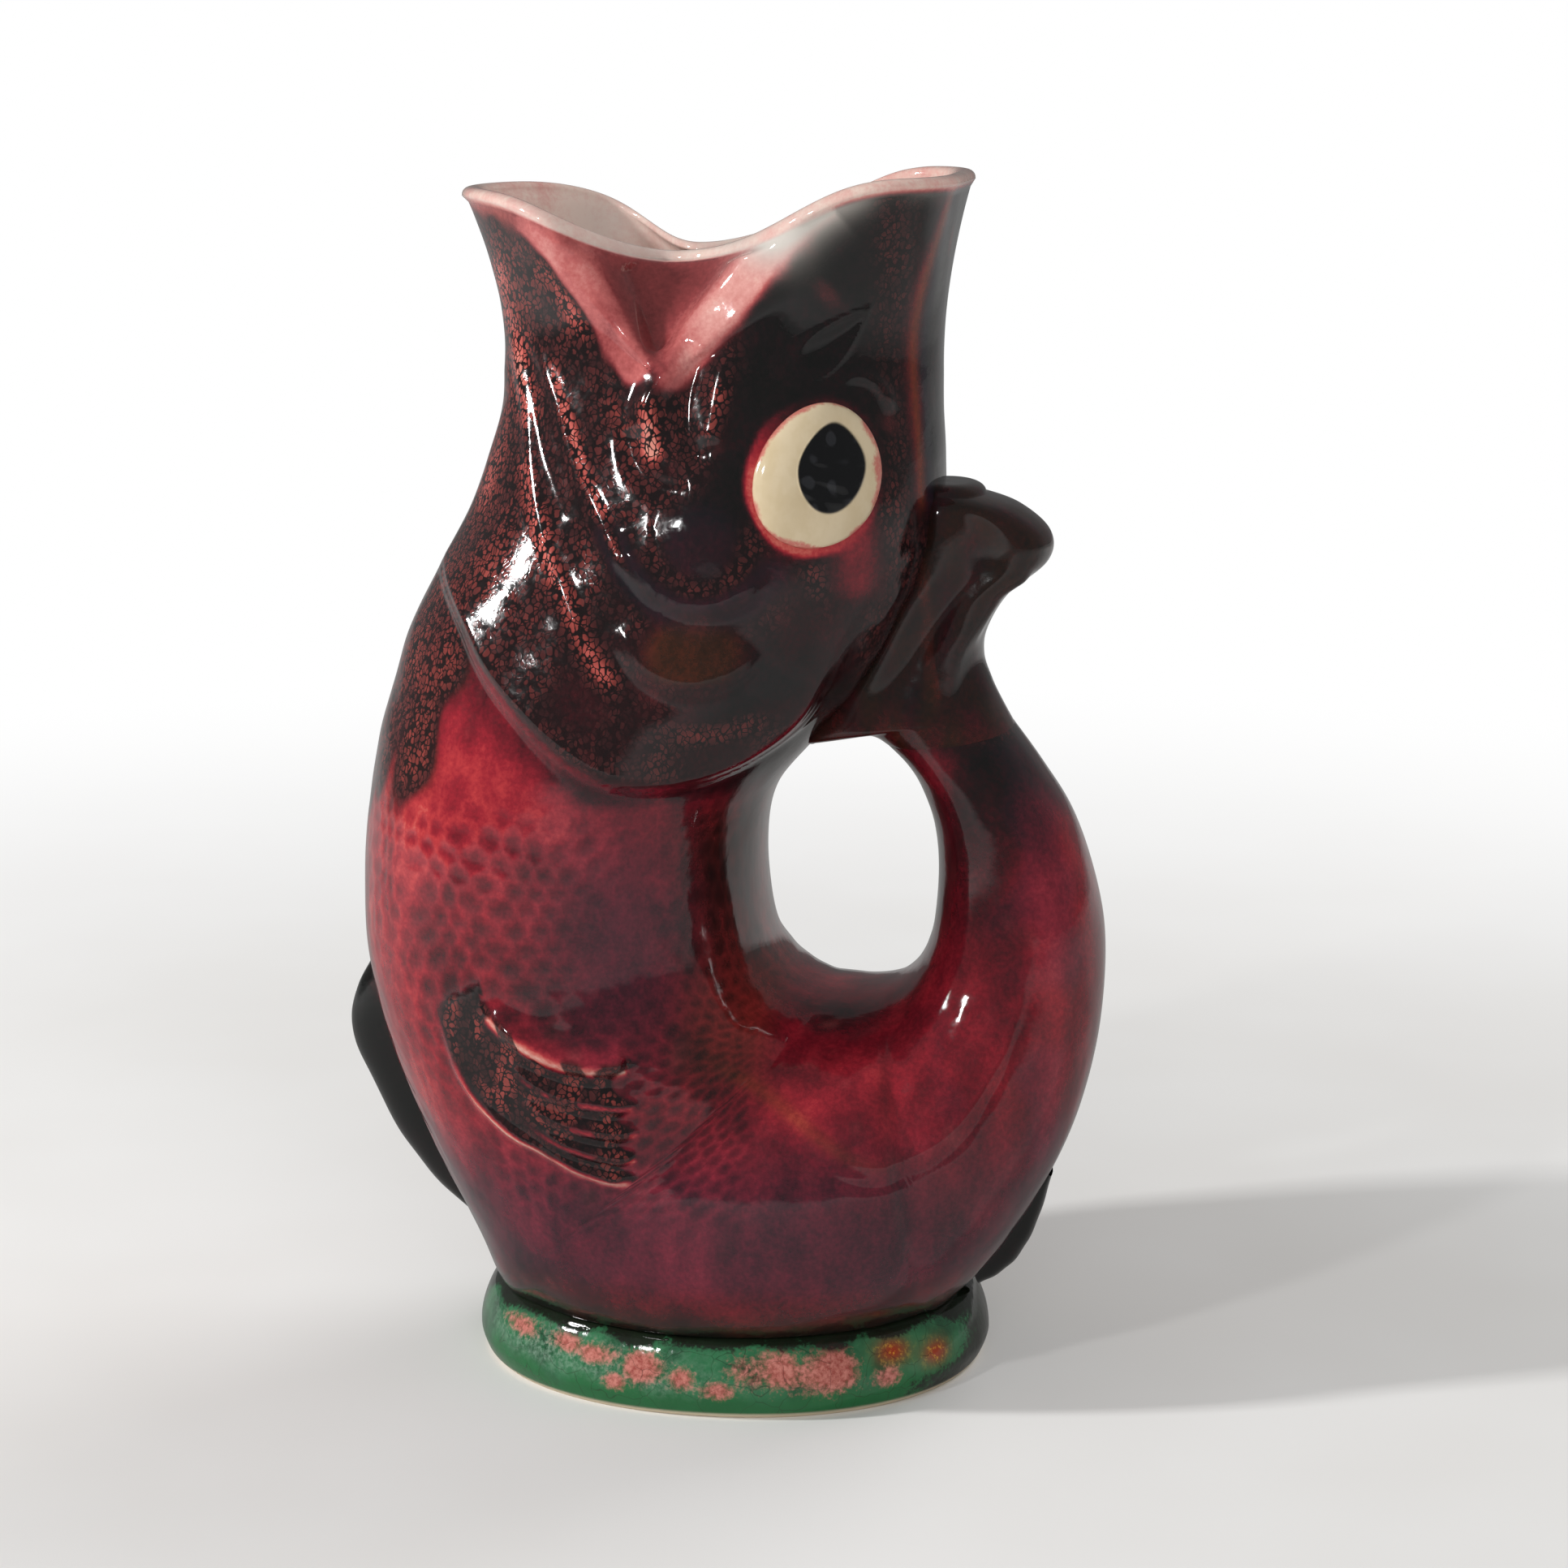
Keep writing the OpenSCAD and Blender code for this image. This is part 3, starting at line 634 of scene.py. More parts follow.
def make_piece(name: str, skins: list[Skin], replaced: list[str],
               material: Material) -> Object:
    """Turns grids into one piece of the scene.

    Args:
        name: The piece's name.
        skins: Its stretches of surface.
        replaced: Construction nodes that it stands for.
        material: What it is made of.

    Returns:
        The new object, riding on the jug's body.
    """
    points, faces, normals, first = [], [], [], 0
    names = sorted(skins[0].paint)
    paint = {k: [] for k in names}
    for skin in skins:
        rows, columns = skin.points.shape[:2]
        points.append(skin.points.reshape(-1, 3))
        given = skin.normals if skin.normals is not None else skin.face_normals()
        faces.append(quads(rows, columns, skin.wraps, first)[:, ::-1 if skin.turned(given) else 1])
        normals.append(given.reshape(-1, 3))
        for k in names:
            paint[k].append(np.broadcast_to(skin.paint[k], (rows, columns)).reshape(-1))
        first += rows * columns
    co = np.concatenate(points) + np.array([FORM.shift, 0, 0])
    face = np.concatenate(faces)
    mesh = bpy.data.meshes.new(name)
    mesh.vertices.add(len(co))
    mesh.vertices.foreach_set("co", (co * MM).astype(np.float32).ravel())
    mesh.loops.add(len(face) * 4)
    mesh.loops.foreach_set("vertex_index", face.astype(np.int32).ravel())
    mesh.polygons.add(len(face))
    mesh.polygons.foreach_set("loop_start", np.arange(0, len(face) * 4, 4, dtype=np.int32))
    mesh.update(calc_edges=True)
    mesh.validate()
    for k in names:
        layer = mesh.attributes.new(k, "FLOAT", "POINT")
        layer.data.foreach_set("value", np.concatenate(paint[k]).astype(np.float32))
    mesh.shade_smooth()
    mesh.normals_split_custom_set_from_vertices(np.concatenate(normals).astype(np.float32))
    mesh.materials.append(material)
    piece = bpy.data.objects.new(name, mesh)
    bpy.context.scene.collection.objects.link(piece)
    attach(piece, ROOT)
    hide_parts(*replaced)
    log.info("%s: %d faces", name, len(face))
    return piece


@dataclass(frozen=True)
class Sculptor:
    """Models the relief of the face, gills, scales and fins."""

    gill_edge: Stroke = Stroke(
        ((-60, 168), (-53, 163), (-47.2, 157.6), (-40.2, 148.2), (-32.0, 140.0), (-24, 133.2),
         (-15.5, 128.6), (-6, 127.8), (3, 129.4), (11, 133.2), (18, 138.6), (23, 145), (27, 152)), 2.2)
    cheek_edge: Stroke = Stroke(
        ((-16.5, 176), (-13.0, 170.5), (-8.2, 165.3), (-2.5, 162.2), (3.6, 161.6), (9.4, 163.8),
         (14.4, 168.4)), 2.2)
    plate_edge: Stroke = Stroke(
        ((-16, 160), (-12.0, 153.2), (-6.8, 148.4), (-1.0, 146.8), (4.4, 147.6), (9.2, 150.2),
         (13.0, 155.0)), 2.2)
    ridges: tuple[Stroke, ...] = (
        Stroke(((-40.7, 213.2), (-38.4, 205), (-36.0, 197), (-33.8, 186), (-30.6, 177.0), (-27.2, 169.5),
                (-23.0, 161.0), (-18.7, 153.0)), 1.7, 0.60),
        Stroke(((-34.5, 212), (-32.2, 206), (-29.0, 200), (-26.2, 193.5), (-23.2, 186.3), (-19.4, 180.5),
                (-15.5, 173.5), (-13.6, 166)), 1.5, 0.55),
        Stroke(((-27.5, 232.6), (-21.2, 224.0), (-16.0, 216.0), (-11.6, 208.5), (-8.6, 203.5)),
               2.3, 1.0, 0.05),
        Stroke(((15.5, 235), (8.4, 226.6), (2.6, 219.4), (-2.2, 213.2), (-6.2, 205.8), (-9.4, 200.6),
                (-9.6, 195.5), (-8.0, 189.8)), 2.9, 2.3, 0.2, 0.2),
        Stroke(((5.8, 214.5), (4.8, 208.6), (3.7, 202.7), (3.2, 198.2), (2.0, 192.5)), 2.4, 1.0, 0.4),
        Stroke(((25.0, 203.6), (28.4, 205.2), (31.6, 204.0), (33.9, 200.6), (34.8, 197)), 1.3, 0.8, 0.3, 0.3),
        Stroke(((42.5, 183), (42.6, 177.4), (41.2, 172.7), (39.4, 169.9), (37.9, 164.3), (35, 160.2),
                (32.2, 153), (28, 147)), 1.6, 0.7),
    )
    grooves: tuple[Stroke, ...] = (
        Stroke(((-0.7, 211.5), (-2.2, 204.4), (-2.3, 198.5), (-1.2, 192.6), (2.0, 188.9)), 1.9, -1.2),
        Stroke(((-13.5, 196), (-12.0, 189.5), (-7.5, 185.2), (-1.0, 184.0)), 2.4, -0.9),
        Stroke(((-7.9, 209.5), (-11.4, 217.5), (-15.6, 226.0)), 1.7, -1.2, 0.1, 0.05),
        Stroke(((-37.5, 210), (-35.2, 201.5), (-32.4, 192.5), (-28.6, 184), (-25.0, 176)), 1.6, -0.35),
    )
    rays: tuple[Stroke, ...] = (
        Stroke(((-41, 84.5), (-34.5, 79.8), (-27.7, 75.9), (-20.2, 73.9), (-12.0, 73.9)),
               2.3, 2.6, 0.3, 0.08),
        Stroke(((-38.5, 75.5), (-32.7, 70.9), (-25.4, 67.4), (-17.4, 66.0), (-10.6, 65.4)),
               1.7, 1.5, 0.5, 0.10),
        Stroke(((-37.5, 69.5), (-30.9, 64.6), (-23.8, 61.6), (-16.6, 60.2), (-10.2, 60.0)),
               1.6, 1.4, 0.5, 0.10),
        Stroke(((-36.0, 64.5), (-29.5, 60.0), (-23.1, 56.9), (-16.2, 54.9), (-10.4, 54.8)),
               1.5, 1.3, 0.5, 0.10),
        Stroke(((-50.6, 88), (-49.0, 78.4), (-44.5, 67.4), (-36.4, 59.6), (-29.6, 56.4), (-22.4, 52.3),
                (-15.8, 50.2), (-11.2, 50.2)), 1.4, 1.4, 0.7, 0.08),
    )
    streaks: tuple[Stroke, ...] = (
        Stroke(((-47, 228), (-43.2, 222), (-40.7, 213.2), (-38.4, 205.5), (-36.0, 198), (-35.4, 190)),
               2.6, 0.55, 0.2, 0.2),
        Stroke(((-36, 192), (-35.0, 185.9), (-31.7, 177.0), (-28.0, 169.5), (-23.0, 161.0), (-18.7, 153.0),
                (-13, 146)), 2.0, 0.50),
        Stroke(((-32.2, 208.8), (-29.5, 203.9), (-27.0, 198.5), (-24.1, 191.7), (-21.7, 186.3),
                (-18.9, 182.0), (-15.5, 175.1), (-12.5, 169)), 1.3, 0.62),
        Stroke(((-33.5, 228), (-31.0, 223.5), (-28.2, 220), (-25.1, 215.6), (-23, 210)), 2.2, 0.42, 0.2, 0.4),
        Stroke(((-19.5, 203), (-17.5, 200.5), (-14.7, 196.3), (-13.6, 190)), 1.6, 0.32, 0.3, 0.4),
        Stroke(((-10.6, 202.5), (-9.6, 197.1), (-8.8, 192.5), (-7.6, 188.5)), 1.9, 0.85, 0.2, 0.25),
        Stroke(((4.6, 206), (3.9, 201.7), (3.4, 198.2), (1.9, 192.8)), 1.6, 0.55, 0.3, 0.3),
        Stroke(((-52, 172), (-47, 182), (-44.5, 195), (-44, 206)), 3.4, 0.34, 0.3, 0.3),
        Stroke(((-44, 160), (-38, 168), (-34, 172), (-30, 165)), 4.0, 0.16, 0.3, 0.3),
        Stroke(((-4.5, 137.2), (-0.8, 138.0), (5.1, 138.6), (10.9, 140.9), (14, 144)), 2.0, 0.42, 0.3, 0.3),
        Stroke(((20.5, 171), (22.5, 167.5), (24.5, 163)), 2.0, 0.35, 0.3, 0.4),
    )
    flow_lines: tuple[Stroke, ...] = (
        Stroke(((0.1, 75.5), (6, 70), (14.1, 65.2), (24.4, 58.4), (33, 54.0), (40.5, 53.6), (49.0, 58.5),
                (54.2, 65.2), (59.1, 74.2), (62.0, 84.9), (63.1, 96.0), (62, 108)), 1.3, 0.28),
        Stroke(((10, 61.5), (18, 56.4), (26, 51.8), (34, 49.4), (41, 50.2), (50, 55), (55.5, 62.5), (60, 72),
                (62.5, 82)), 1.1, -0.22),
    )

    gill_step: float = 3.2
    cheek_step: float = 2.0
    plate_step: float = 1.7
    scale_length: float = 5.0
    scale_height: float = 4.5
    scale_hollow: float = 0.13
    nostril_place: Point = (24.6, 212.0)
    nostril_length: float = 7.8
    nostril_tilt: float = 44.0

    def facing(self, normals: Array, low: float = 0.06, high: float = 0.32) -> Array:
        """Gives how far each point looks to the side, from 0 to 1."""
        return eased((np.abs(normals[..., 1]) - low) / (high - low))

    def scales(self, skin: Skin, first: int) -> tuple[Array, Array]:
        """Lays rows of scales over the belly.

        Args:
            skin: The jug's outer wall.
            first: Its row at the gills.

        Returns:
            How strongly a point lies in a scale's hollow, and on the net between them.
        """
        p = skin.points
        step = np.linalg.norm(np.roll(p, -1, axis=1) - p, axis=2)
        columns = p.shape[1]
        round_ = np.cumsum(step, axis=1) - step
        round_ -= round_[:, columns // 2][:, None]
        side = p[:, columns // 4]
        down = np.concatenate([[0], np.cumsum(np.linalg.norm(np.diff(side, axis=0), axis=1))])
        down = (down - down[first])[:, None] * np.ones(columns)
        u, v = round_ / self.scale_length, down / self.scale_height
        u = u + 0.30 * wander(p, 8, 3) + 0.5 * wander(p, 30, 13)
        v = v + 0.30 * wander(p, 8, 4) + 0.5 * wander(p, 30, 14)
        best = np.full(u.shape, 9.0)
        second = np.full(u.shape, 9.0)
        for lane in (-1, 0, 1):
            j = np.round(v) + lane
            offset = 0.5 * (j % 2)
            for k in (-1, 0, 1):
                i = np.round(u - offset) + k
                r = np.hypot(u - offset - i, (v - j) * 0.95)
                second = np.where(r < best, best, np.minimum(second, r))
                best = np.minimum(best, r)
        hollow = bell(best, 0.36)
        net = bell(second - best, 0.24)
        return hollow, net

    def shelf(self, edge: Stroke, x: Array, z: Array, reach: float, inner: float) -> Array:
        """Raises a plate that ends in a step.

        Args:
            edge: The plate's lower edge, run so that the plate lies on its left.
            x: Places along the fish.
            z: Their heights.
            reach: Distance beyond which the plate isn't worked out.
            inner: Distance over which the plate sinks back into the wall.

        Returns:
            The share of the step's height at each place.
        """
        distance, along, way = edge.measure(x, z, reach)
        ends = eased(along * 6) * eased((1 - along) * 6)
        over = np.exp(-distance / inner) * (0.45 + 0.55 * eased(distance / 2.2))
        rise = np.where(way > 0, over, 0.45 * bell(distance, 1.25))
        return rise * ends * (distance < reach * 0.99)

    def wall_relief(self, skin: Skin, normals: Array, first: int) -> Array:
        """Works out how far each point of the outer wall stands out.

        Args:
            skin: The plain wall, from the rim to the tail's end.
            normals: Its outward directions.
            first: Its row at the gills.

        Returns:
            One height a point, in millimetres.
        """
        p = skin.points
        x, z = p[..., 0], p[..., 2]
        side = self.facing(normals)
        out = np.zeros(x.shape)
        for stroke in self.ridges + self.grooves:
            out += stroke.value(x, z)
        out += self.gill_step * self.shelf(self.gill_edge, x, z, 60.0, 15.0) * eased((z - 120) / 6)
        cheek = np.hypot(x - 1.5, (z - 175.5) * 0.95)
        boss = np.hypot((x - 0.5) / 1.25, z - 155.5)
        out += 2.1 * bell(cheek, 8.0) + 0.5 * bell(boss, 5.0)
        out += self.cheek_step * self.shelf(self.cheek_edge, x, z, 22.0, 5.0)
        out += self.plate_step * self.shelf(self.plate_edge, x, z, 22.0, 5.5)
        pit = self.nostril(x, z)
        out += 0.40 * bell(pit - 1.0, 0.20) - 0.75 * bell(pit, 0.62)
        hollow, net = self.scales(skin, first)
        here = self.scaled(p)
        out += here * (0.06 * net - self.scale_hollow * hollow) * eased((1 - x) / 12)
        for ray in self.rays:
            out += ray.value(x, z)
        fan = self.pectoral(x, z)
        out += 0.45 * fan
        for line in self.flow_lines:
            out += line.value(x, z)
        out += 0.09 * wander(p, 13, 5) + 0.04 * wander(p, 5, 6)
        return out * side + 0.05 * wander(p, 17, 8) * (1 - side)

    def nostril(self, x: Array, z: Array) -> Array:
        """Measures places against the nostril's teardrop.

        Args:
            x: Places along the fish.
            z: Their heights.

        Returns:
            Distance from its middle, with 1 on its edge.
        """
        a = math.radians(self.nostril_tilt)
        dx, dz = x - self.nostril_place[0], z - self.nostril_place[1]
        long = dx * math.cos(a) + dz * math.sin(a)
        wide = -dx * math.sin(a) + dz * math.cos(a)
        return np.hypot(long / self.nostril_length, wide / np.maximum(3.0 - 0.22 * long, 0.8))

    def pectoral(self, x: Array, z: Array) -> Array:
        """Gives how far a point lies on the pectoral fin.

        Args:
            x: Places along the fish.
            z: Their heights.

        Returns:
            A value from 0 to 1 a place.
        """
        top, low = self.rays[0], self.rays[-1]
        from_top, _, top_side = top.measure(x, z, 20.0)
        from_low, _, low_side = low.measure(x, z, 20.0)
        inside = (top_side < 0) & (low_side > 0)
        edge = np.minimum(from_top, from_low) * np.where(inside, 1, -1)
        root = np.minimum(from_low * low_side, (x + 41) * 0.6 - (z - 84.5) + 4)
        edge = np.where(x < -41, root, edge)
        tips = np.max([bell(z - ray.points[-1][1], 2.0) for ray in self.rays], axis=0)
        end = -14.5 + 5.0 * tips
        fan = eased((edge + 1.8) / 2.6) * eased((end - x) / 2.4) * eased((x + 56) / 10)
        return fan * (z < 94) * (z > 40)

    def scaled(self, p: Array) -> Array:
        """Gives how clearly the belly's scales show.

        Args:
            p: Points of the wall.

        Returns:
            A value from 0 to 1 a point.
        """
        x, z = p[..., 0], p[..., 2]
        over = eased((128 - z) / 12) * eased((z - 34) / 14) * eased((18 - x) / 14)
        calm = eased(0.62 + 0.6 * wander(p, 24, 11) + 0.3 * bell((x + 12) / 24))
        return over * (0.25 + 0.75 * calm) * (1 - self.pectoral(x, z)) * eased((x + 74) / 12)


class WallCoat:
    """The glaze over the outer wall, laid on one part of the fish after another.

    Thickness runs from 0, where thin glaze leaves the clay pink, through coral and oxblood to 1, black.
    Net is how strongly pink cells show in dark glaze. Rose, rust, blue and milk tint it.
    """

    eye_middle: Point = (22.0, 186.6)
    eye_half: Point = (12.6, 14.8)
    # The first patch lightens the belly's front edge: partly thinner salmon glaze, partly a painted highlight
    # where the key light falls
    belly_patches_and_highlight = (Patch((-64, 96), (11, 34), -0.13), Patch((-42, 118), (16, 18), -0.06),
                     Patch((-16, 96), (16, 24), 0.07), Patch((18, 60), (20, 16), 0.04))
    tail_glow = Patch((69, 92), (8, 34), -0.08)
    belly_blue = Patch((-14, 98), (15, 26), 0.62)
    low_rust = Patch((50, 44), (10, 8), 0.30)
    drip = Stroke(((28.6, 178), (29.8, 171), (29.0, 165), (27.6, 161)), 4.6, 1.1, 0.05, 0.3)
    lower_lip = Stroke(((-36, 236.0), (-29.6, 230.6), (-23.6, 223.4), (-18.8, 216.6), (-14.2, 209.6),
                        (-11.2, 204.6), (-9.6, 200)), 4.6, 1.15, 0.02, 0.2)
    upper_lip = Stroke(((24, 239.5), (16.6, 233.4), (10.0, 225.6), (4.4, 218.6), (-0.6, 212.6),
                        (-5.2, 205.6), (-9.0, 201.0), (-9.6, 196.4)), 4.6, 1.25, 0.02, 0.3)
    # For each ray, the line below it where glaze ran thin: drop, width, strength and start
    ray_lines = ((-1.3, 1.3, 0.80, 0.05), (-0.6, 0.7, 0.55, 0.45), (-0.6, 0.7, 0.50, 0.5),
                 (-0.6, 0.7, 0.50, 0.5), (-0.9, 0.8, 0.62, 0.6))

    def __init__(self, sculptor: Sculptor, skin: Skin, normals: Array, first: int) -> None:
        """Reads the wall and lays out what more than one part of the fish needs.

        Args:
            sculptor: What modelled the wall.
            skin: The modelled wall.
            normals: Its outward directions.
            first: Its row at the gills.
        """
        p = skin.points
        x, z = p[..., 0], p[..., 2]
        self.sculptor = sculptor
        self.points = p
        self.x, self.y, self.z = x, p[..., 1], z
        self.side = sculptor.facing(normals, 0.0, 0.25)
        self.slow, self.quick, self.fine = wander(p, 26, 21), wander(p, 9, 22), wander(p, 4, 23)
        self.lank = wander(p * np.array([2.4, 2.4, 0.5]), 9, 24)
        distance, along, way = sculptor.gill_edge.measure(x, z, 60.0)
        self.gill_ends = eased(along * 8) * eased((1 - along) * 8)
        inside = np.where(way > 0, distance, -distance)
        head = mixed(eased((z - 150) / 8), eased((inside + 0.4) / 1.6), self.side)
        head = np.maximum(head, eased((z - 160) / 5))
        self.head = np.maximum(head, eased((x - 17) / 6) * eased((z - 129) / 6))
        chin = eased((-x - 50 + 0.33 * (z - 140) + 3 * self.quick) / 10 + 0.5) * (1 - self.head)
        self.chin = chin * eased((z - 113 + 5 * self.lank) / 20)
        self.tail = eased((x - 42) / 12) * eased((z - 36) / 18)
        self.scale_hollow, self.scale_net = sculptor.scales(skin, first)
        self.thickness, self.net, self.rose, self.milk = np.zeros((4, *x.shape))
        self.gloss, self.olive, self.fan = np.zeros((3, *x.shape))

    def paint(self, relief: Array) -> dict[str, Array]:
        """Lays the whole glaze on.

        Args:
            relief: How far each point stands out.

        Returns:
            The painted values a point, under their names.
        """
        self.lay_head(self.belly())
        self.lay_gill_line()
        self.lay_eye_edge()
        self.lay_plates()
        self.lay_lips()
        self.lay_pectoral()
        rust, blue = self.tints()
        thickness = self.thickness - 0.015 * np.clip(relief, -2, 2)
        values = (thickness, self.net, self.rose, rust, blue, self.milk)
        return {name: held(value) for name, value in zip(PAINTS, values)}

    def belly(self) -> Array:
        """Works out how thick the red glaze lies on the belly and the tail, with a painted highlight on the
        belly's front edge.

        Returns:
            One thickness a point.
        """
        x, z, quick, chin = self.x, self.z, self.quick, self.chin
        belly = 0.565 + 0.05 * self.slow + 0.055 * quick + 0.03 * self.fine
        # The first patch is partly a painted highlight on the belly's front edge
        for patch in self.belly_patches_and_highlight:
            belly += patch.value(x, z)
        belly += 0.08 * eased((x + 10) / 14) * eased((z - 60) / 20) + 0.12 * eased((66 - z) / 30)
        runs = wander(self.points * np.array([3.0, 3.0, 0.35]), 22, 31)
        oxblood = (0.62 + self.tail_glow.value(x, z) + 0.18 * eased((z - 100) / 30)
                   + 0.10 * bell((x - 50) / 8) * eased((z - 84) / 22) + 0.05 * runs)
        belly = mixed(belly, oxblood, self.tail)
        here = self.sculptor.scaled(self.points) * (1 - self.head)
        belly += here * (0.13 * self.scale_hollow - 0.055 * self.scale_net)
        hole = np.hypot((x - FORM.hole_reach) / (FORM.hole_width / 2),
                        (z - FORM.hole_middle) / (FORM.hole_height / 2))
        belly += 0.16 * bell(hole - 1.0, 0.13) * (z < 150) * self.side
        return belly + (0.15 * chin + 0.05 * chin * quick)

    def lay_head(self, belly: Array) -> None:
        """Lays dark glaze with its net over the head and the chin.

        Args:
            belly: Thickness of the red glaze elsewhere.
        """
        x, z, slow, quick, head = self.x, self.z, self.slow, self.quick, self.head
        upper = eased((x + 1 - (z - 205) * 0.25) / 12) * eased((z - 172) / 14)
        smooth = bell((x - 12) / 12) * bell((z - 140 - 0.5 * x) / 9)
        throat = 0.87 + 0.03 * slow - 0.05 * eased((-x - 34) / 16)
        jaw = 0.95 + 0.02 * quick
        self.thickness = mixed(belly, mixed(throat, jaw, np.maximum(upper, smooth)), head)
        net = head * (0.18 + 0.05 * slow + 0.03 * quick + 0.04 * self.lank)
        net += 0.12 * head * eased((-x - 30) / 16)
        net += 0.36 * self.chin * (1.0 + 0.15 * quick)
        for streak in self.sculptor.streaks:
            net += 1.15 * streak.value(x, z) * np.maximum(self.side, 0.2) * (0.9 + 0.3 * quick)
        net *= (1 - 0.74 * upper) * (1 - 0.85 * smooth * head)
        self.net = net + 0.12 * bell((x - 36) / 5) * eased((z - 170) / 12)

    def lay_gill_line(self) -> None:
        """Lays the dark shadow under the gill cover and the thin glaze on its edge."""
        x, z = self.x, self.z
        distance, _, way = self.sculptor.gill_edge.measure(x, z, 14.0)
        under = self.gill_ends * self.side * (way < 0) * eased((z - 122) / 4)
        self.thickness += 0.22 * bell(distance - 3.0, 3.0) * under * (1 - 0.5 * eased((-x - 20) / 20))
        line = bell(distance - 0.5, 1.3) * self.gill_ends * self.side
        line = line * eased((2 - x) / 8) * eased((x + 52) / 8)
        self.thickness = mixed(self.thickness, 0.68, 0.35 * line)
        self.net *= 1 - 0.45 * line

    def lay_eye_edge(self) -> None:
        """Lays the pink ring round the eye and the drip below it."""
        dx, dz = self.x - self.eye_middle[0], self.z - self.eye_middle[1]
        away = np.hypot(dx / self.eye_half[0], dz / self.eye_half[1])
        halo = bell(np.maximum(away - 0.97, 0), 0.055 + 0.015 * self.fine) * self.side
        halo = halo * (self.z > 150) * eased((38 - self.x) / 6)
        halo *= mixed(0.25, 1.0, eased(0.5 - 0.75 * np.cos(np.arctan2(dz, dx) - 0.9)))
        self.thickness = mixed(self.thickness, 0.27, halo * 0.9)
        self.net *= 1 - halo
        drip = held(self.drip.value(self.x, self.z) * self.side)
        self.thickness = mixed(self.thickness, 0.50, drip * 0.72)
        self.net *= 1 - drip

    def lay_plates(self) -> None:
        """Lays the olive patch on the lower plate and the smooth glaze on the cheek's step and boss."""
        x, z = self.x, self.z
        patch = np.hypot((x - 0.4) / 9.0, (z - 154.2) / 6.6)
        self.olive = eased((1.3 - patch) / 0.6) * eased((z - 147) / 2.5) * self.side
        step, _, above = self.sculptor.cheek_edge.measure(x, z, 12.0)
        gloss = bell((step - 1.6) * np.where(above > 0, 1, -1), 2.2) * self.side * (z > 155)
        boss = np.hypot(x - 1.5, z - 175) / 9.0
        self.gloss = np.maximum(gloss, 0.8 * eased((1.05 - boss) / 0.5) * self.side)
        self.net *= (1 - 0.8 * self.gloss) * (1 - 0.85 * self.olive)
        dark = 0.80 + 0.05 * self.quick + 0.03 * self.fine
        self.thickness = mixed(self.thickness, dark, self.olive * 0.95)

    def lay_lips(self) -> None:
        """Lays the pink of the lips and the web, the milky haze and the pale rim."""
        x, z, side, quick, fine = self.x, self.z, self.side, self.quick, self.fine
        rim = self.rim_gap()
        below = np.maximum(rim, 0)
        lip = bell(below / (6.0 + 2.2 * eased((x + 44) / 24)))
        upper_lip = held(self.upper_lip.value(x, z))
        lower_lip = held(self.lower_lip.value(x, z))
        web = self.web_mask()
        rose = np.maximum(lower_lip, np.maximum(web, lip * eased((-x - 5) / 9)))
        rose = np.maximum(rose, upper_lip) * side
        rose = np.where(side < 0.3, lip * eased((-x - 10) / 8), rose)
        rose = eased(rose * 1.5 - 0.25 + (0.30 * fine + 0.22 * quick) * (1 - rose))
        blush = 0.46 + 0.10 * quick + 0.05 * fine
        blush = mixed(blush, 0.74, web * (1 - 0.5 * bell(rim / 3.0)))
        blush = mixed(blush, 0.22, upper_lip * eased((z - 204) / 14))
        blush = mixed(blush, 0.20, bell(below / 1.1))
        self.thickness = mixed(self.thickness, blush, rose)
        self.net = self.net * (1 - 0.9 * rose)
        haze = bell(below / (2.2 + 3.4 * bell((x - 19) / 14) + 0.7 * quick)) * eased((x - 4) / 10)
        haze *= eased((48 - x) / 12)
        self.milk = held(haze + 0.55 * upper_lip * eased((z - 222) / 12)) * side
        edge = bell(below / 0.9)
        self.thickness = mixed(self.thickness, 0.12, edge * np.where(x > 38, 0.35, 0.9))
        self.rose = np.maximum(rose, edge * eased((20 - x) / 10))
        self.net *= 1 - edge

    def lay_pectoral(self) -> None:
        """Lays black glaze over the pectoral fin and thins it along the rays."""
        x, z, side, quick = self.x, self.z, self.side, self.quick
        rays = self.sculptor.rays
        self.fan = self.sculptor.pectoral(x, z) * side
        self.thickness = mixed(self.thickness, 0.985, held(self.fan) * 0.97)
        self.net = mixed(self.net, 0.16 + 0.08 * quick, self.fan)
        crest = Stroke(tuple((a, b + 1.5) for a, b in rays[0].points[1:]), 1.8, 1.0, 0.3, 0.05)
        self.thickness = mixed(self.thickness, 0.56, held(crest.value(x, z) * side))
        for ray, (drop, wide, strong, start) in zip(rays, self.ray_lines):
            line = Stroke(tuple((a, b + drop) for a, b in ray.points), wide, strong, start, 0.03)
            thin = line.value(x, z) * side
            self.net = held(self.net - 0.5 * thin)
            self.thickness -= thin
        self.net += self.fan * eased(self.fine * 2.0 + 0.2) * 0.25

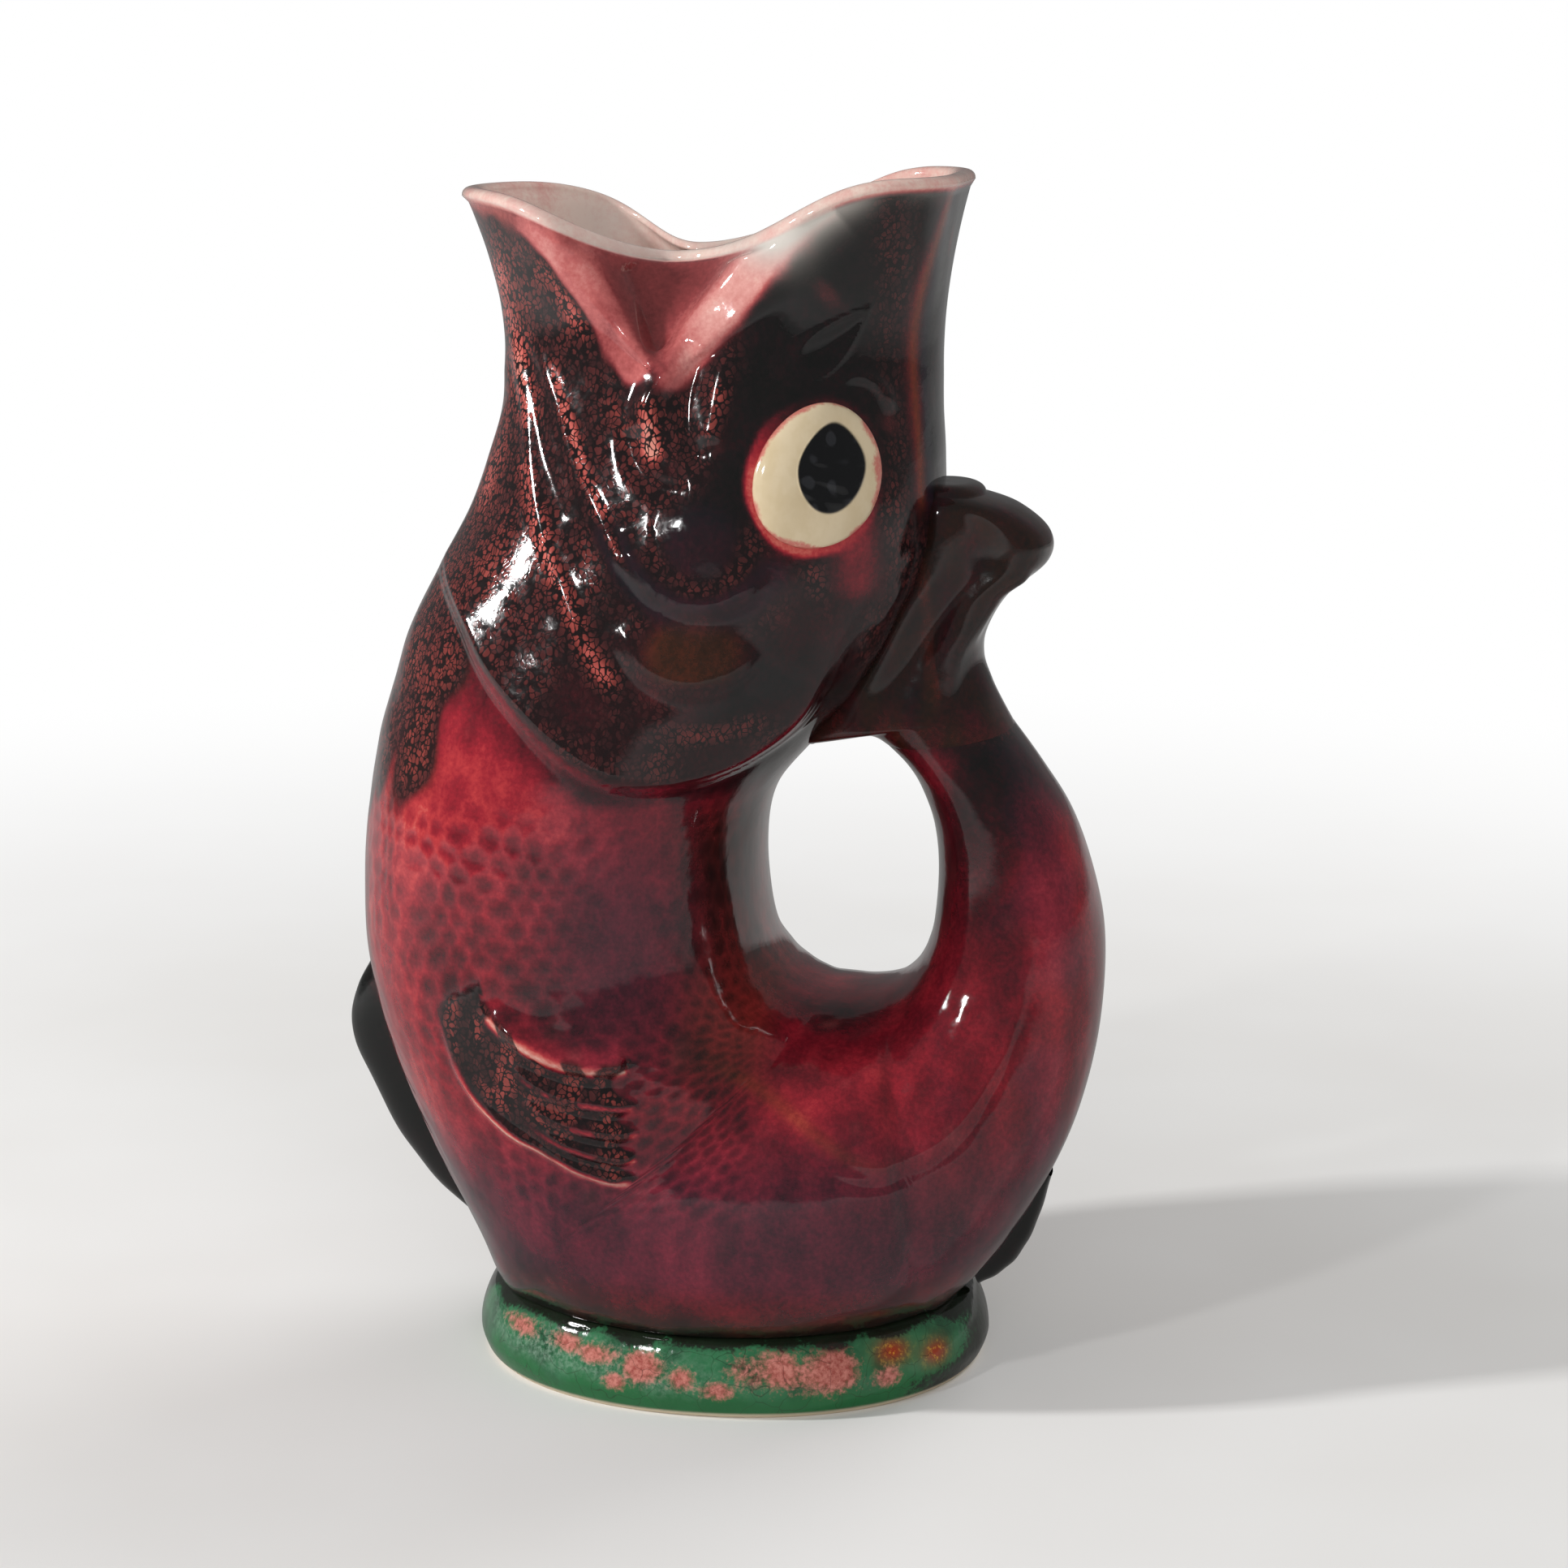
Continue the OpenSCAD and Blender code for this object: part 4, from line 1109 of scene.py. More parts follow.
    def tints(self) -> tuple[Array, Array]:
        """Paints shade into the crease above the foot's seat, draws the line down the nape and works out two
        tints.

        Returns:
            Rust and blue, one value a point each.
        """
        x, z, quick, head = self.x, self.z, self.quick, self.head
        # Painted shade in the crease above the foot's seat; the olive-brown band that it also carries through
        # rust is the glaze's own colour
        seat_shade_and_band = eased((23 - z) / 6) * (z > 15.5)
        self.thickness += 0.14 * seat_shade_and_band + 0.10 * eased((18.5 - z) / 2) * (z > 15.5)
        flow = self.sculptor.flow_lines[0]
        under_hole = eased((x + 8) / 10) * eased((16 - x) / 8)
        rust = (0.8 * self.chin * eased(0.5 + quick)
                + 0.45 * under_hole * eased((128 - z) / 16) * eased((z - 62) / 14)
                + 0.5 * flow.value(x, z) / flow.height * self.side * eased((46 - x) / 20)
                + 0.55 * seat_shade_and_band + 0.9 * self.olive
                + 0.30 * head * eased((-x - 34) / 8) * eased(0.3 + quick)
                + self.low_rust.value(x, z))
        out = np.abs(self.y)
        nape = eased((x - 30.0) / 4) * eased((z - 174) / 8)
        self.thickness = mixed(self.thickness, 0.52, 0.80 * (bell((out - 15.5) / 2.6) * nape))
        self.net *= 1 - 0.8 * nape * bell((out - 13.5) / 4.0)
        rust = rust + 0.95 * bell((out - 15.0) / 1.5) * nape
        low = eased((66 - z) / 26) * (1 - head) * (1 - self.fan) * eased((z - 22) / 8)
        blue = (0.95 * bell((out - 11.5) / 1.6) * nape + 0.50 * self.gloss
                + self.belly_blue.value(x, z) * (1 - head) + 0.62 * low
                + 0.35 * self.tail * eased(0.2 + wander(self.points, 11, 32)))
        return rust, blue

    def rim_gap(self) -> Array:
        """Measures how far each point lies below the rim."""
        middle, half = FORM.mouth
        return FORM.rim_height(np.clip((self.x - middle) / half, -1, 1)) - self.z

    def web_mask(self) -> Array:
        """Finds the web between the jaws.

        Returns:
            A value from 0 to 1 a point.
        """
        x, z = self.x, self.z
        rise = held((z - 205) / 24)
        left, right = -8.0 - 14.5 * rise, -7.0 + 17.0 * rise
        return eased((x - left) / 2.5 + 0.5) * eased((right - x) / 2.5 + 0.5) * eased((z - 204) / 4)


@dataclass(frozen=True)
class WallDetail:
    """How finely the wall is drawn: points round it, rows of its parts and rows to one station."""

    columns: int = 440
    throat_rows: int = 16
    mouth_rows: int = 18
    lip_rows: int = 15
    flare_rows: int = 50
    flare_top: float = 0.915
    under_start: float = 16.5
    head_step: float = 1 / 15
    belly_step: float = 1 / 13
    under_step: float = 1 / 8
    tail_step: float = 1 / 12


class Wall:
    """The jug's hollow body: head and mouth, belly, and tail up to its end."""

    widest: float = 53.4

    def __init__(self, detail: WallDetail, sculptor: Sculptor) -> None:
        """Draws the wall, then models and paints it.

        Args:
            detail: How finely it is drawn.
            sculptor: What models its relief.
        """
        self.detail = detail
        points = self.draw()
        side = detail.columns // 4
        normals = Skin(points, {}).outward(self.head_row, side)
        keep = slice(self.first_outer, None)
        first = self.head_row - self.first_outer
        outer = Skin(points[keep], {})
        relief = self.limited(sculptor.wall_relief(outer, normals[keep], first), outer.points)
        # outer shares the wall's points, so from here on it is the modelled wall
        points[keep] = outer.points + normals[keep] * relief[..., None]
        points[..., 0] = np.minimum(points[..., 0], FORM.tail_reach - 0.01)
        self.paint = {name: np.zeros(points.shape[:2]) for name in PAINTS}
        for name, value in WallCoat(sculptor, outer, normals[keep], first).paint(relief).items():
            self.paint[name][keep] = value
        self.paint_inside(points[:self.first_outer])
        self.skin = Skin(points, self.paint)
        self.skin.normals = self.skin.outward(self.head_row, side)

    def draw(self) -> Array:
        """Draws the plain wall and keeps the rows at which its parts begin.

        Returns:
            Its points, from the throat's inside over the lip and down to the tail's end.
        """
        d, thick = self.detail, FORM.wall
        angles = (np.arange(d.columns) * 360.0 / d.columns)[None]
        rows = [FORM.section(np.array([[s]]), angles, thick, thick)
                for s in np.linspace(FORM.head_end, 0.0, d.throat_rows)[:-1]]
        mouth = np.linspace(0.05, d.flare_top, d.mouth_rows)[:, None]
        rows.append(FORM.rim(mouth, angles, thick, 0.0))
        lip = np.linspace(0, math.pi, d.lip_rows)[:, None]
        inset = thick * (1 + np.cos(lip)) / 2
        drop = 0.45 * thick * (1 - np.sin(lip) ** 0.8)
        rows.append(FORM.rim(np.ones(lip.shape), angles, inset, drop))
        self.first_outer = sum(len(r) for r in rows)
        flare = np.linspace(d.flare_top, 0, d.flare_rows)[:-1, None]
        rows.append(FORM.rim(flare, angles))
        s = np.concatenate([np.arange(0, FORM.head_end, d.head_step),
                            np.arange(FORM.head_end, d.under_start, d.belly_step),
                            np.arange(d.under_start, FORM.belly_end, d.under_step),
                            np.arange(FORM.belly_end, FORM.tail_end, d.tail_step),
                            [FORM.head_end, FORM.belly_end, FORM.tail_end]])
        s = np.unique(np.round(s, 6))
        rows.append(FORM.section(s[:, None], angles))
        first_station = self.first_outer + len(flare)
        self.head_row = first_station + int(np.searchsorted(s, FORM.head_end))
        self.belly_row = first_station + int(np.searchsorted(s, FORM.belly_end))
        return np.concatenate(rows)

    def limited(self, relief: Array, p: Array) -> Array:
        """Keeps the relief off the foot's seat and inside the jug's box.

        Args:
            relief: How far each point would stand out.
            p: The plain wall's points.

        Returns:
            How far each point stands out.
        """
        relief = relief * eased((np.arange(len(relief)) / 4.0))[:, None]
        on_seat = (p[..., 2] < FORM.foot_height + 0.01) & (p[..., 2] > FORM.foot_height - 1)
        relief = np.where(on_seat, 0, relief)
        edge = eased((FORM.tail_reach - 0.2 - p[..., 0]) / 1.5)
        relief = np.where(relief > 0, relief * edge, relief)
        relief = np.minimum(relief, np.maximum(self.widest - np.abs(p[..., 1]), 0))
        return np.minimum(relief, np.maximum(FORM.tail_reach - 0.02 - p[..., 0], 0))

    def paint_inside(self, p: Array) -> None:
        """Paints pale glaze with rusty swirls inside the mouth and on the lip.

        Args:
            p: The points there, which are the wall's first rows.
        """
        part = slice(0, len(p))
        self.paint["thickness"][part] = 0.06 + 0.04 * wander(p, 12, 51) + 0.05 * eased(wander(p, 5, 52))
        self.paint["rose"][part] = 1.0
        swirl = wander(p + 6 * wander(p, 9, 54)[..., None], 7, 55)
        self.paint["rust"][part] = 0.30 * bell(swirl / 0.22) * eased((238 - p[..., 2]) / 14)
        milk = 0.40 + 0.2 * wander(p, 14, 53)
        self.paint["milk"][part] = milk * eased((241 - p[..., 2]) / 10)

    def lining(self) -> Skin:
        """Draws the inside of the belly, as seen down through the mouth.

        Returns:
            The lining, painted in pale glaze.
        """
        s = np.linspace(FORM.head_end, FORM.belly_end, 60)
        angles = np.arange(160) * 2.25
        points = FORM.section(s[:, None], angles[None], FORM.wall, FORM.wall)[::-1]
        paint = {name: np.zeros(points.shape[:2]) for name in PAINTS}
        paint["thickness"] = 0.10 + 0.05 * wander(points, 14, 61)
        paint["rose"] = np.full(points.shape[:2], 0.5)
        skin = Skin(points, paint)
        skin.normals = skin.face_normals()
        return skin

    def build(self, glazes: dict[Slot, Material]) -> None:
        """Makes the head, the belly and the tail.

        Args:
            glazes: The finishes by their slots.
        """
        head = self.skin.rows(0, self.head_row)
        belly = self.skin.rows(self.head_row, self.belly_row)
        tail = self.skin.rows(self.belly_row, len(self.skin.points) - 1)
        make_piece("head_wall", [head],
                   ["head", "gill_cover_left", "gill_cover_right", "nostril_left", "nostril_right"],
                   glazes[Slot.HEAD])
        make_piece("belly_wall", [belly, self.lining()],
                   ["belly", "pectoral_fin_left", "pectoral_fin_right"], glazes[Slot.BELLY])
        make_piece("tail_wall", [tail], ["tail_handle"], glazes[Slot.TAIL])


@dataclass(frozen=True)
class TailFin:
    """The fin that joins the tail's end to the nape."""

    valley: float = 0.28
    valley_place: float = 0.56
    rounding: float = 3.0
    rows: int = 110
    columns: int = 440
    fold: Stroke = Stroke(((62, 166), (56, 160.5), (51, 156), (46.5, 150), (45, 143), (46, 134)),
                          2.2, 1.2, 0.1, 0.3)
    hollow: Stroke = Stroke(((47, 171), (52, 168.5), (57, 166.5)), 3.4, 0.4, 0.3, 0.3)
    thin_edge: Stroke = Stroke(((41, 172), (40, 158), (43, 146), (46, 136)), 3.0, 1.0, 0.3, 0.2)

    def stations(self) -> Array:
        """Gives the fin's stations.

        Returns:
            Outer end, inner end and half width, one row a station.
        """
        top = curve(FORM.stations(), np.array(FORM.tail_end))
        rows = [tuple(top)]
        for (a, b), (c, d, w) in zip(FAN_INNER, FAN_OUTER):
            rows.append((c * FORM.fin_tip_reach, mixed(top[1], FORM.fin_tip_height, d),
                         a * FORM.neck_reach, b * FORM.lip_line, w * FORM.tail_end_width / 2))
        return np.array(rows, float)

    def draw(self) -> Array:
        """Draws the plain fin from the tail's end to its closed tip.

        Returns:
            Its points.
        """
        rows = self.stations()
        last = len(rows) - 1
        u = np.linspace(0, last, self.rows)[:, None]
        angle = (np.arange(self.columns) * 360.0 / self.columns)[None]
        u, angle = np.broadcast_arrays(u, angle)
        wall = self.ring(rows, u, angle, np.zeros(u.shape))
        turn = np.linspace(0, math.pi / 2, 9)[1:, None] * np.ones(self.columns)
        cap = self.ring(rows, np.full(turn.shape, float(last)), np.broadcast_to(angle[0], turn.shape), turn)
        centre = cap[-1].mean(axis=0)
        close = np.array([0.25, 0.5, 0.75, 0.93, 0.995])[:, None, None]
        lid = cap[-1][None] * (1 - close) + centre * close
        return np.concatenate([wall, cap, lid])

    def build(self, glaze: Material) -> Object:
        """Models, paints and makes the fin.

        Args:
            glaze: Its finish.

        Returns:
            The fin.
        """
        points = self.draw()
        normals = Skin(points, {}).outward(60, self.columns // 4)
        x, z = points[..., 0], points[..., 2]
        side = eased((np.abs(normals[..., 1]) - 0.1) / 0.3)
        out = self.fold.value(x, z) - self.hollow.value(x, z)
        out += 0.12 * wander(points * np.array([1, 1, 0.5]), 6, 71)
        out = out * side * eased(np.arange(len(points)) / 12.0)[:, None]
        points = points + normals * out[..., None]
        slow, quick = wander(points, 20, 72), wander(points * np.array([2.5, 2.5, 0.6]), 9, 73)
        t = 0.88 + 0.03 * slow + 0.03 * quick - 0.02 * np.clip(out, -2, 2)
        t -= 0.10 * eased((142 - z) / 9)
        t -= 0.14 * self.thin_edge.value(x, z) * eased(quick * 1.5 + 0.3)
        paint = {name: np.zeros(t.shape) for name in PAINTS}
        paint["thickness"] = held(t)
        paint["net"] = held(0.05 + 0.10 * slow) * eased((z - 138) / 14)
        paint["rust"] = held(0.35 + 0.30 * quick)
        fan = Skin(points, paint)
        fan.normals = fan.outward(60, self.columns // 4)
        return make_piece("tail_fin_fan", [fan], ["tail_fin"], glaze)

    def ring(self, rows: Array, u: Array, angle: Array, turn: Array) -> Array:
        """Gives points of the fin's sections.

        Args:
            rows: The fin's stations.
            u: Places along them.
            angle: Directions round the section, in degrees.
            turn: How far the rounded end has turned in, in radians.

        Returns:
            Places, one for each.
        """
        row = curve(rows, u)
        e = 2 / FORM.body_square
        a = np.radians(angle)
        inner, outer = row[..., 2:4], row[..., 0:2]
        shrink = (1 - np.cos(turn)) * self.rounding * 1.2
        along = unit(outer - inner)
        inner, outer = inner + along * shrink[..., None], outer - along * shrink[..., None]
        place = (1 - signed_pow(np.cos(a), e)) / 2
        flat = mixed(inner, outer, place[..., None])
        width = row[..., 4] - shrink
        lie = self.valley * eased((u - 1) / 4) * eased((len(rows) - 1 - u) / 2.5)
        lie = lie * bell(place - self.valley_place, 0.2)
        y = -width * signed_pow(np.sin(a), e) * (1 - lie)
        up = np.stack([-along[..., 1], along[..., 0]], -1)
        up = up * np.sign(up[..., 1:2])
        flat = flat + up * (np.sin(turn) * self.rounding * 0.7)[..., None]
        beside = (flat[..., 0] < FORM.hole_reach) | (flat[..., 1] > FORM.hole_middle + FORM.hole_height / 2)
        back = FORM.head_back(y, np.clip(flat[..., 1], 131, 203)) - 0.6
        x = np.where(beside, np.maximum(flat[..., 0], back), flat[..., 0])
        return np.stack([x, y, flat[..., 1]], -1)


@dataclass(frozen=True)
class Blade:
    """A fin on the middle plane: its stations on the wall, heights along it, reach and thickness."""

    name: str
    node: str
    first: float
    last: float
    heights: tuple[float, ...]
    out: float
    thick: float
    knobs: float

    def build(self, glaze: Material) -> Object:
        """Makes the fin, flared where it grows out of the wall.

        Args:
            glaze: Its finish.

        Returns:
            The fin.
        """
        rows, columns = 120, 61
        share = np.linspace(0, 1, rows)[:, None]
        heights = curve(np.array(self.heights)[:, None], share[:, 0] * (len(self.heights) - 1))
        row = curve(FORM.stations(), mixed(self.first, self.last, share))
        outer, inner = row[..., 0:2], row[..., 2:4]
        along = unit(outer - inner)
        v = np.linspace(-1, 1, columns)[None]
        up = 1 - np.abs(v)
        lift = signed_pow(np.sin(up * math.pi / 2), 0.9)
        knob = 1 - self.knobs * (0.5 + 0.5 * np.cos(share * math.pi * 9)) * lift
        half = self.thick / 2 * mixed(0.55, 1, heights) * ((1 - lift ** 2.2) * 0.62 + 0.36 * (1 - lift ** 8))
        half = half + 1.6 * np.exp(-lift * heights * self.out / 1.3)
        y = np.sign(v) * half * eased(np.abs(v) * 12)
        reach = lift * heights * self.out * 0.955 * knob - 0.9 * (1 - lift) ** 3
        flat = outer + along * reach[..., None]
        points = np.stack([flat[..., 0], np.broadcast_to(y, reach.shape), flat[..., 1]], -1)
        normals = Skin(points, {}, None, False).outward(rows // 2, 8)
        slow, quick = wander(points, 12, 81), wander(points, 4, 82)
        root = bell(lift * heights * self.out, 3.2) * mixed(1.0, 0.25, eased((share - 0.12) / 0.25))
        root *= eased((self.out - 6) / 6)
        t = 0.985 + 0.015 * slow - 0.70 * root * eased(0.55 + quick)
        paint = {name: np.zeros(t.shape) for name in PAINTS}
        paint["thickness"] = held(t)
        paint["net"] = held(0.04 * slow + 0.25 * root)
        paint["rose"] = held(0.6 * root)
        fin = Skin(points, paint, normals, False)
        return make_piece(self.name, [fin], [self.node], glaze)


@dataclass(frozen=True)
class Eye:
    """A low egg-shaped dome with a painted pupil."""

    length: float = 22.6
    height: float = 27.2
    out: float = 3.0
    reach: float = 22.3
    middle: float = 187.0
    lean: float = 8.0
    pupil: Point = (25.2, 188.6)
    pupil_size: Point = (5.9, 8.5)

    def build(self, side: int, name: str, node: str, glaze: Material) -> Object:
        """Makes one eye.

        Args:
            side: -1 for the left and 1 for the right.
            name: The piece's name.
            node: The construction node that it stands for.
            glaze: Its finish.

        Returns:
            The eye.
        """
        columns, rings = 200, 80
        a = np.radians(np.arange(columns) * 360.0 / columns)[None] * -side
        r = np.linspace(1.05, 0.002, rings)[:, None]
        x0 = self.length / 2 * np.cos(a) * (1 - 0.1 * np.sin(a)) * r
        z0 = self.height / 2 * np.sin(a) * r
        tilt = math.radians(self.lean)
        x = self.reach + x0 * math.cos(tilt) + z0 * math.sin(tilt)
        z = self.middle + z0 * math.cos(tilt) - x0 * math.sin(tilt)
        q = held(r)
        dome = self.out * (0.10 + 0.90 * (1 - q ** 2.6) ** 0.62) - 1.2 * eased((r - 0.985) / 0.05)
        u = (x - self.pupil[0]) / self.pupil_size[0]
        v = (z - self.pupil[1]) / self.pupil_size[1]
        point = np.where(v > 0, 1 - 0.30 * held(v) ** 1.6, 1 - 0.06 * v * v)
        away = np.hypot(u / point, v)
        pupil = eased((1.03 - away) / 0.07)
        p2 = np.stack([x, z], -1)
        dome = dome + 0.22 * pupil + 0.16 * pupil * wander(p2, 2.2, 91) + 0.03 * wander(p2, 6, 92)
        y = side * (FORM.side_depth(x, z) + dome - 0.05)
        points = np.stack([x, y, z], -1)
        edge = eased((r - 0.86 + 0.03 * np.sin(a * 3 + 1) + 0.04 * wander(p2, 4, 93)) / 0.16)
        paint = {"pupil": pupil, "edge": np.broadcast_to(edge, x.shape),
                 "blot": 0.5 + 0.5 * wander(p2, 2.4, 94)}
        skin = Skin(points, paint)
        skin.normals = skin.outward(rings // 2, 5, side)
        return make_piece(name, [skin], [node], glaze)


@dataclass(frozen=True)
class Foot:
    """The bulging oval foot ring."""

    profile: tuple[Point, ...] = ((0.00, 0.62), (0.10, 0.28), (0.30, 0.00), (0.52, 0.10), (0.74, 0.42),
                                  (0.90, 0.80), (1.00, 1.35))
    square: float = 2.1
    columns: int = 480
    # Pink breaks of each side: direction, height, width in degrees, height of the break and strength
    spots: tuple[tuple[float, float, float, float, float], ...] = (
        (140, 12.0, 9.0, 2.2, 0.85), (127, 11.6, 7.0, 2.2, 0.80), (116, 11.0, 6.0, 2.4, 0.90),
        (103.0, 9.6, 6.2, 3.4, 1.0), (111, 6.4, 3.6, 2.0, 0.85), (93, 8.2, 4.4, 2.6, 0.95),
        (85, 6.4, 5.4, 2.2, 0.95), (71, 10.0, 10.0, 4.4, 1.0), (57, 9.4, 11.0, 4.4, 1.0),
        (44, 6.8, 5.0, 2.4, 0.85))
    embers: tuple[Point, ...] = ((40, 11.5), (28, 9.0))

    def outline(self) -> Array:
        """Draws the ring's cross-section.

        Returns:
            Distance in from the foot's widest outline, and height, one row a point.
        """
        rows = np.array(self.profile)
        fine = curve(rows, np.linspace(0, len(rows) - 1, 60))
        depth, high = FORM.groove_depth, FORM.foot_height
        outside = np.stack([np.clip(fine[:, 1], 0, 2) * depth, held(fine[:, 0]) * high], 1)[::-1]
        ring = FORM.foot_ring_width
        under = np.stack([np.linspace(outside[-1, 0], ring - 1.0, 14)[1:], np.zeros(13)], 1)
        turn = np.linspace(0, math.pi / 2, 5)[1:]
        bend = np.stack([ring - 1.0 + np.sin(turn), 1 - np.cos(turn)], 1)
        inside = np.stack([np.full(10, ring), np.linspace(1, high, 11)[1:]], 1)
        over = np.stack([np.linspace(ring, outside[0, 0], 10), np.full(10, high)], 1)[1:]
        return np.concatenate([outside, under, bend, inside, over])

    def build(self, glaze: Material) -> Object:
        """Makes the foot.

        Args:
            glaze: Its finish.

        Returns:
            The foot.
        """
        line = self.outline()
        a = np.radians(np.arange(self.columns) * 360.0 / self.columns)[None]
        inset, z = line[:, 0:1], line[:, 1:2] * np.ones(self.columns)
        e = 2 / self.square
        x = (FORM.foot_length / 2 - inset) * signed_pow(np.cos(a), e)
        y = -(FORM.foot_width / 2 - inset) * signed_pow(np.sin(a), e)
        points = np.stack([x, y, z], -1)
        shell = (np.arange(len(line)) < 54)[:, None]
        dent = np.where(shell, -0.25 * eased(0.5 + 0.5 * wander(points, 14, 101)) * eased(z / 3), 0)
        points = points + unit(points * np.array([1, 1, 0])) * dent[..., None]
        skin = Skin(points, self.paint(points, inset, np.degrees(np.arctan2(-y, x)), z))
        skin.normals = skin.outward(30, self.columns // 4)
        return make_piece("foot_ring_glazed", [skin], ["foot_ring"], glaze)

    def paint(self, points: Array, inset: Array, angle: Array, z: Array) -> dict[str, Array]:
        """Paints the foot.

        Args:
            points: Its points.
            inset: Their distances in from the widest outline.
            angle: Their directions in degrees, with 0 at the tail and 90 on the left.
            z: Their heights.

        Returns:
            The painted values a point, under their names.
        """
        quick = wander(points, 7, 103)
        pink = np.zeros(angle.shape)
        for at, height, wide, tall, strong in self.spots:
            for mirror in (1, -1):
                gap = (angle - mirror * at + 180) % 360 - 180
                pink = np.maximum(pink, strong * bell(gap / wide) * bell((z - height) / tall))
        turn = np.abs(angle)
        # Painted shade: darker at both ends of the foot, low on its tail side and along its top under the
        # belly, where the top band is partly the dark glaze as well
        dark = (eased((z - 12.2 + 0.9 * quick) / 3.4) + 0.85 * eased((50 - turn) / 26) * eased((9 - z) / 6)
                + 0.9 * eased((24 - turn) / 16) + 0.8 * eased((turn - 158) / 14) * eased((z - 5) / 5))
        ember = sum(bell((turn - at) / 4.0) * bell((z - height) / 2.2) for at, height in self.embers)
        # Painted highlight on the bulge of the foot's front quarter, partly paler green streaks of glaze
        light = bell((turn - 128) / 26) * bell((z - 10.0) / 3.6)
        light += 0.55 * bell((turn - 98) / 16) * bell((z - 7) / 4)
        bare = eased((1.5 - z) / 0.9) + eased((inset - FORM.foot_ring_width + 1.5) / 0.5)
        return {"pink": held(pink * (0.85 + 0.35 * quick)),
                "dark": held(dark * (1 - ember)), "bare": held(bare),
                "rust": held(ember), "light": held(light),
                "deep": eased((7.5 - z + 1.5 * quick) / 4)}


class Nodes:
    """Short ways to lay out a node tree."""

    def __init__(self, tree: NodeTree) -> None:
        """Takes the tree that is filled."""
        self.tree = tree

    def add(self, kind: str, inputs: dict | None = None, **settings: object) -> Node:
        """Adds a node.

        Args:
            kind: Its type.
            inputs: Values or links for its inputs, by name or number.
            settings: Its other settings.

        Returns:
            The node.
        """
        node = self.tree.nodes.new(kind)
        for k, v in settings.items():
            setattr(node, k, v)
        for k, v in (inputs or {}).items():
            self.feed(node.inputs[k], v)
        return node

    def feed(self, socket: NodeSocket, value: object) -> None:
        """Links a socket, or sets its value.

        Args:
            socket: The input that is fed.
            value: Another node's output, or a plain value.
        """
        if isinstance(value, NodeSocket):
            self.tree.links.new(value, socket)
        else:
            socket.default_value = value

    def group(self, tree: NodeTree, inputs: dict) -> Node:
        """Places a node group, with its inputs by name."""
        return self.add("ShaderNodeGroup", inputs, node_tree=tree)

    def math(self, kind: str, a: object, b: object = 0.0, c: object = 0.0) -> NodeSocket:
        """Does one sum on up to three values and gives its result."""
        return self.add("ShaderNodeMath", {0: a, 1: b, 2: c}, operation=kind).outputs[0]

    def vector(self, kind: str, a: object, b: object) -> NodeSocket:
        """Does one sum on two vectors and gives its result."""
        return self.add("ShaderNodeVectorMath", {0: a, 1: b}, operation=kind).outputs[0]

    def scaled(self, vector: object, factor: float) -> NodeSocket:
        """Makes a vector longer by a factor."""
        node = self.add("ShaderNodeVectorMath", {0: vector, "Scale": factor}, operation="SCALE")
        return node.outputs[0]

    def millimetres(self, place: object) -> NodeSocket:
        """Turns a place in metres into millimetres."""
        return self.vector("MULTIPLY", place, (1000, 1000, 1000))

    def span(self, value: object, low: object, high: object, to_low: float = 0.0,
             to_high: float = 1.0) -> NodeSocket:
        """Maps one range smoothly onto another."""
        limits = {0: value, 1: low, 2: high, 3: to_low, 4: to_high}
        return self.add("ShaderNodeMapRange", limits, interpolation_type="SMOOTHSTEP").outputs[0]

    def mix(self, factor: object, a: object, b: object) -> NodeSocket:
        """Blends from one colour to another."""
        return self.add("ShaderNodeMix", {0: factor, 6: a, 7: b}, data_type="RGBA").outputs[2]

    def noise(self, vector: object, scale: float, detail: float = 3.0,
              rough: float = 0.55) -> NodeSocket:
        """Gives a noise value at a place."""
        looks = {"Vector": vector, "Scale": scale, "Detail": detail, "Roughness": rough}
        return self.add("ShaderNodeTexNoise", looks).outputs[0]

    def mask(self, name: str) -> NodeSocket:
        """Reads a painted value."""
        return self.add("ShaderNodeAttribute", attribute_name=name).outputs["Fac"]

    def ramp(self, value: object, stops: tuple[tuple[float, str], ...]) -> NodeSocket:
        """Lays out a run of colours.

        Args:
            value: The place on the run.
            stops: Places and colours, in order.

        Returns:
            The colour.
        """
        node = self.add("ShaderNodeValToRGB", {0: value})
        band = node.color_ramp
        while len(band.elements) < len(stops):
            band.elements.new(0.5)
        for element, (place, text) in zip(band.elements, stops):
            element.position = place
            element.color = linear(text)
        return node.outputs[0]


def new_group(name: str, inputs: dict[str, float | None],
              outputs: tuple[str, ...]) -> tuple[NodeTree, Nodes, Node, Node]:
    """Starts a shader node group.

    Args:
        name: The group's name.
        inputs: Each input's first value, or None for a vector.
        outputs: Names of the outputs. Color is a colour and the others are values.

    Returns:
        The group, its layout helper, and its inner input and output nodes.
    """
    tree = bpy.data.node_groups.new(name, "ShaderNodeTree")
    for label, value in inputs.items():
        kind = "NodeSocketVector" if value is None else "NodeSocketFloat"
        socket = tree.interface.new_socket(label, in_out="INPUT", socket_type=kind)
        if value is not None:
            socket.default_value = value
    for label in outputs:
        kind = "NodeSocketColor" if label == "Color" else "NodeSocketFloat"
        tree.interface.new_socket(label, in_out="OUTPUT", socket_type=kind)
    nodes = Nodes(tree)
    return tree, nodes, nodes.add("NodeGroupInput"), nodes.add("NodeGroupOutput")


